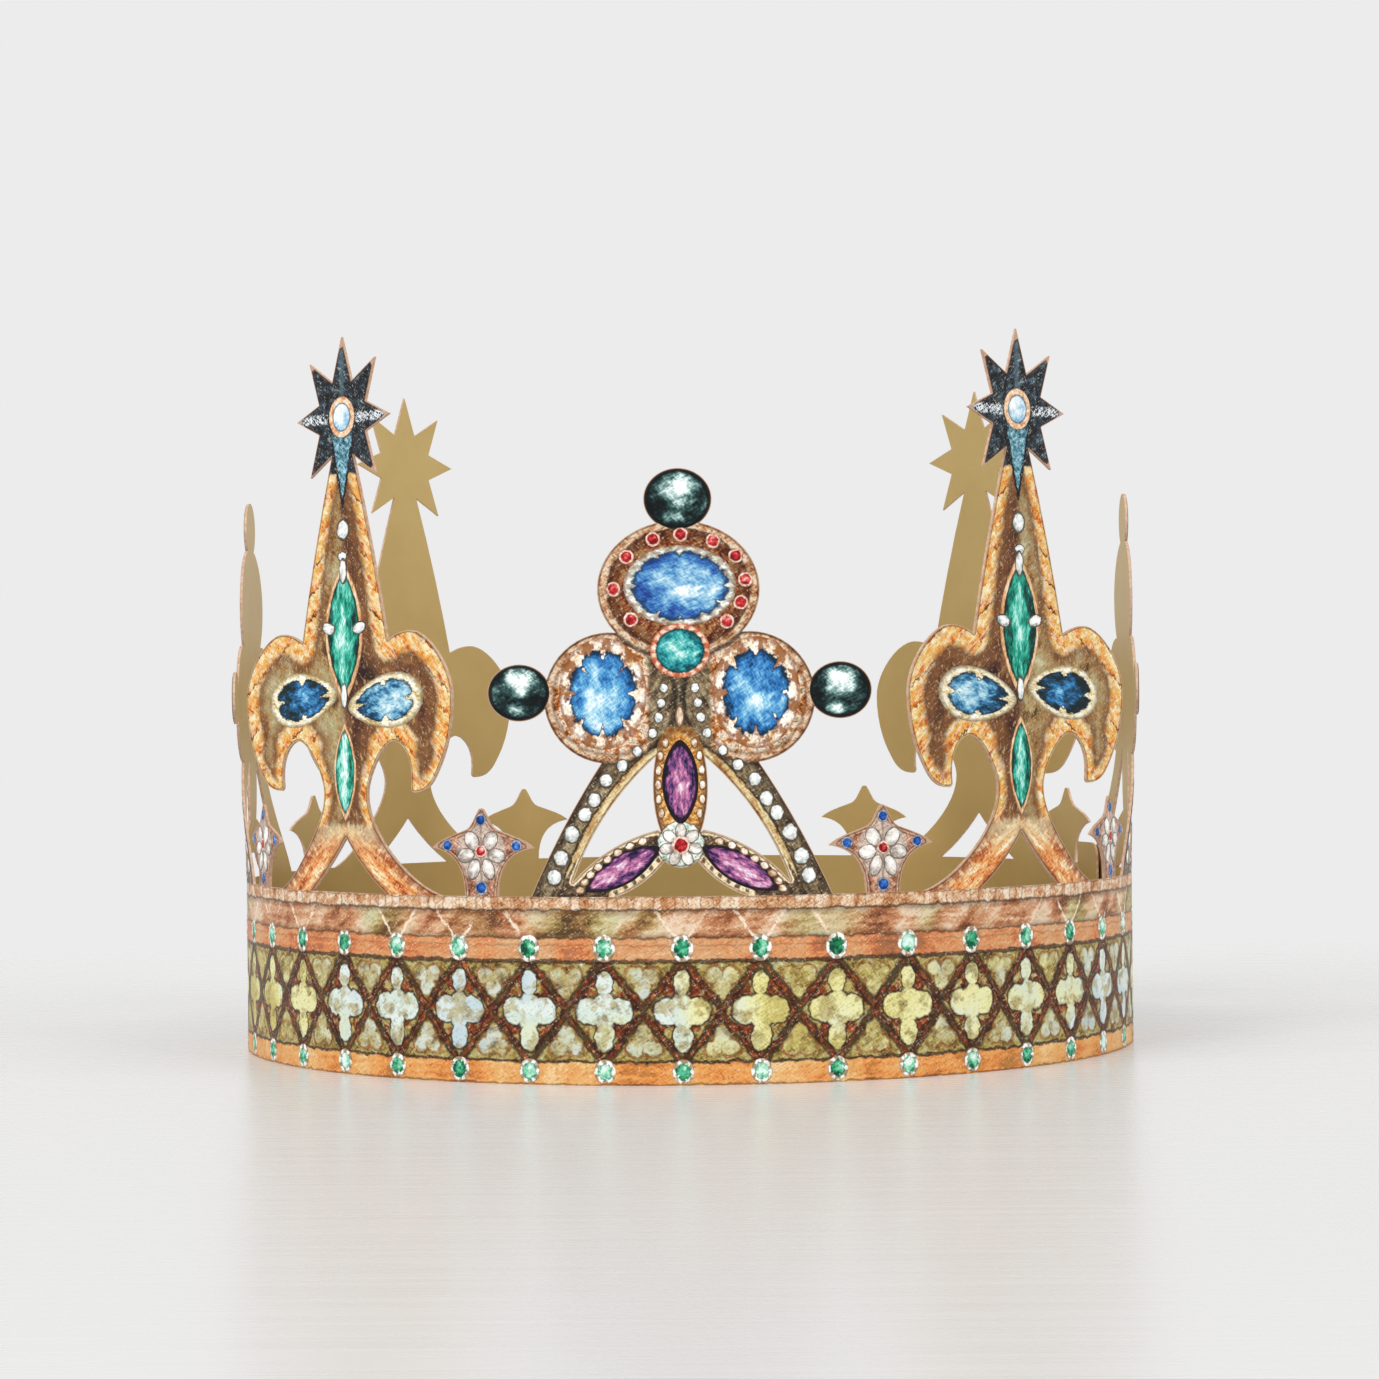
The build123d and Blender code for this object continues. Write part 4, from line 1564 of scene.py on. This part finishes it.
def arch() -> Ornament:
    """The three arched ornaments.

    Returns:
        The ornament, with its beads and pearls from their places on its right side.
    """
    ruby_places = (
        (-4.5, 98.3), (0.5, 99.1), (6.3, 97.9), (10.4, 95.2), (12.1, 90.9), (11.2, 86.8), (8.7, 83.4),
        (-8.6, 83.9), (-11.7, 89.4), (-9.3, 95.2),
    )
    leg_pearls = (
        (2.8, 71.5, 0.8), (3.3, 68.8, 0.8), (3.8, 66.2, 0.85), (4.9, 63.4, 0.85), (7.7, 60.2, 0.9),
        (10.4, 57.6, 1.05), (13.4, 55.0, 1.2), (15.5, 51.5, 1.3), (17.3, 48.9, 1.3), (19.7, 45.3, 1.45),
        (21.7, 41.0, 1.45), (23.0, 37.5, 1.4),
    )
    side_beads = ((2.6, 61.6), (3.5, 59.3), (3.9, 56.7), (4.0, 54.1), (3.9, 51.5), (3.45, 49.0))
    leaf_beads = (
        (6.9, 43.9), (9.2, 43.1), (11.4, 42.0), (13.3, 40.7), (15.0, 39.4), (16.4, 38.0), (17.5, 36.6),
        (18.3, 35.2),
    )
    rosette_height, petal_radius, petals = 43.2, 2.6, 7
    stones = [
        Stone(Kind.SAPPHIRE, 0.3, 89.9, 10.2, 7.3),
        Stone(Kind.TEAL, 0.2, 78.2, 5.4, 4.9, layer=1.0),
        Stone(Kind.ORB, 0.0, 105.5, 5.95, 5.4, layer=0.5),
        Stone(Kind.AMETHYST, 0.0, 54.6, 3.3, 7.6, pointed=0.4, layer=0.5),
        Stone(Kind.RUBY, 0.0, rosette_height, 1.7, 1.7, layer=2.0),
        Stone(Kind.CREAM_BEAD, 0.0, 66.4, 0.85, 2.3, pointed=0.6),
        *(Stone(Kind.RUBY, x, z, 1.35, 1.35) for x, z in ruby_places),
        *both(
            Stone(Kind.SIDE_SAPPHIRE, 13.8, 70.6, 7.9, 10.1),
            Stone(Kind.ORB, 28.95, 70.9, 5.5, 4.95, layer=0.5),
            Stone(Kind.AMETHYST, 10.6, 39.0, 2.8, 7.8, turn=60.0, pointed=0.6),
            *(Stone(Kind.PEARL, x, z, size * 1.1, size * 1.2) for x, z, size in leg_pearls),
            *(Stone(Kind.CREAM_BEAD, x, z, 0.65, 1.05) for x, z in side_beads),
            *(Stone(Kind.CREAM_BEAD, x, z, 0.95, 0.75, turn=-30.0) for x, z in leaf_beads),
        ),
    ]
    for turn in np.linspace(0.0, 2.0 * math.pi, petals, endpoint=False):
        x, z = petal_radius * math.sin(turn), rosette_height + petal_radius * math.cos(turn)
        stones.append(Stone(Kind.PETAL, x, z, 1.05, 1.4, turn=-math.degrees(turn), layer=1.0))
    wall = Wall(flat_height=28.0, flat_radius=400.0)
    return Ornament("arch", (0.0, 90.0, -90.0), 12.0, wall, ArchPrint(), stones)


def sprig() -> Ornament:
    """The eight small sprigs, with the one beside the lock last.

    Returns:
        The ornament.
    """
    stones = [
        Stone(Kind.SMALL_BLUE, 0.0, 47.9, 1.1, 1.1),
        Stone(Kind.SMALL_BLUE, 0.0, 35.5, 1.3, 1.3),
        Stone(Kind.RUBY, 0.0, 42.2, 1.25, 1.2, layer=1.0),
        *both(
            Stone(Kind.SMALL_BLUE, 7.1, 43.2, 1.1, 1.1),
            Stone(Kind.PETAL, 1.9, 44.1, 1.5, 1.95, turn=-35.0),
            Stone(Kind.PETAL, 3.15, 41.4, 1.9, 1.4, turn=-10.0),
            Stone(Kind.PETAL, 1.5, 38.9, 1.3, 2.1, turn=20.0),
        ),
    ]
    angles = (23.9, -23.9, 66.3, -66.3, -114.4, 154.3, -154.3, 115.28)
    return Ornament("sprig", angles, 6.0, Wall(), SprigPrint(), stones)


@dataclass
class Stage:
    """Table, lamps, pale backdrop and camera, in millimetres, degrees and watts."""

    backdrop: str = "ECECEC"
    daylight: tuple[float, ...] = (1.0, 0.995, 0.985, 1.0)
    daylight_strength: float = 0.7
    # Table tones: the near ones are darker as painted shade, the far ones lighter as painted light, where
    # the lamps fall off.
    shaded_near_table: str = "D3D3D3 D4D4D4 D5D5D5"
    lit_far_table: str = "E2E2E2 E3E3E3 E4E4E4"
    near: float = -340.0
    far: float = 260.0
    table_half: float = 4000.0
    table_end: float = 250.0
    table_blur: float = 60.0
    camera_distance: float = 715.0
    camera_height: float = 66.8
    camera_angle: float = 0.875
    camera_aside: float = 0.45
    pitch: float = 0.404
    roll: float = 0.606
    lens: float = 90.68
    lamp_size: float = 1200.0
    lamp_aim: tuple[float, ...] = (0.0, 0.0, 60.0)
    left_lamp: tuple[float, ...] = (-1100.0, -1200.0, 1300.0)
    left_power: float = 22.0
    right_lamp: tuple[float, ...] = (1300.0, -900.0, 1000.0)
    right_power: float = 12.0

    def build_camera(self) -> None:
        """Camera at the photograph's viewing angle."""
        data = bpy.data.cameras.new("camera")
        data.lens = self.lens
        data.clip_start = 0.01
        camera = put("camera", data)
        turn = math.radians(self.camera_angle)
        place = (
            self.camera_distance * math.sin(turn) + self.camera_aside * math.cos(turn),
            -self.camera_distance * math.cos(turn) + self.camera_aside * math.sin(turn),
            self.camera_height,
        )
        camera.matrix_world = (
            Matrix.Translation(Vector(place) * MM)
            @ Matrix.Rotation(turn, 4, "Z")
            @ Matrix.Rotation(math.radians(90 + self.pitch), 4, "X")
            @ Matrix.Rotation(-math.radians(self.roll), 4, "Z")
        )
        bpy.context.scene.camera = camera

    def build_world(self) -> None:
        """Even light all round, and a pale backdrop where a view or a reflection goes past the table."""
        world = bpy.data.worlds.new("studio")
        bpy.context.scene.world = world
        world.use_nodes = True
        sky = Nodes(world.node_tree)
        rays = sky.node("ShaderNodeLightPath", {}, {}).outputs
        light = {"Color": self.daylight, "Strength": self.daylight_strength}
        lit = sky.node("ShaderNodeBackground", {}, light)
        seen = sky.node("ShaderNodeBackground", {}, {"Color": self.backdrop})
        either = {0: rays["Is Camera Ray"], 1: rays["Is Glossy Ray"]}
        shown = sky.node("ShaderNodeMath", {"operation": "ADD", "use_clamp": True}, either)
        mixed = {0: shown.outputs[0], 1: lit.outputs[0], 2: seen.outputs[0]}
        mixed = sky.node("ShaderNodeMixShader", {}, mixed)
        sky.node("ShaderNodeOutputWorld", {}, {"Surface": mixed.outputs[0]})

    def build_lamp(self, name: str, place: tuple[float, ...], power: float) -> None:
        """Square soft lamp that looks at the middle of the crown.

        Args:
            name: The lamp's name.
            place: Where it hangs, in millimetres.
            power: Power in watts.
        """
        data = bpy.data.lights.new(name, "AREA")
        data.size = self.lamp_size * MM
        data.energy = power
        lamp = put(name, data)
        lamp.location = Vector(place) * MM
        aim = Vector(self.lamp_aim) - Vector(place)
        lamp.rotation_euler = aim.to_track_quat("-Z", "Y").to_euler()

    def build_table(self) -> None:
        """Pale smooth table top under the crown, painted darker near the camera and lighter far off: painted
        shade and painted light that even out the lamps.
        """
        half = self.table_half * MM
        corners = [(-half, -half, 0), (half, -half, 0), (half, half, 0), (-half, half, 0)]
        mesh = bpy.data.meshes.new("table")
        mesh.from_pydata(corners, [], [(0, 1, 2, 3)])
        paint = Paint("painted_table", 0.3)
        x, y, z = paint.body_place()
        grain = paint.noise(x * 0.02, y, z, 1.6, 4.0)
        # Painted shade near the camera and painted light far off: the table's tone runs from near to far.
        far = y.above((self.near + self.far) / 2.0, (self.far - self.near) / 2.0)
        tones = [paint.ramp(grain, each, 0.3, 0.7) for each in (self.shaded_near_table, self.lit_far_table)]
        paint.feed(paint.shader.inputs["Alpha"], y.below(self.table_end, self.table_blur))
        mesh.materials.append(paint.finish(paint.mix(far, *tones), (grain - 0.5) * 0.16 + 0.28))
        put("table", mesh)

    def build(self) -> None:
        """All of the stage."""
        bpy.context.scene.view_settings.view_transform = "Standard"
        self.build_camera()
        self.build_world()
        self.build_lamp("lamp_left", self.left_lamp, self.left_power)
        self.build_lamp("lamp_right", self.right_lamp, self.right_power)
        self.build_table()


def main() -> None:
    """Builds the stage and every piece in order."""
    logging.basicConfig(level=logging.INFO)
    Stage().build()
    log.info("stage built")
    card = Card()
    log.info("built %s", card.build().name)
    band = Band()
    log.info("built %s", band.build().name)
    sets = {kind: StoneSet(kind) for kind in Kind}
    band.add_stones(sets[Kind.RAIL_EMERALD])
    outlines = Outlines(card.points, card.face)
    for ornament in (fleur(), arch(), sprig()):
        for film in ornament.build(outlines, sets):
            log.info("built %s with %d faces", film.name, len(film.data.polygons))
    for each in sets.values():
        log.info("built %s with %d stones", each.build().name, len(each.rows))


if __name__ == "__main__":
    main()
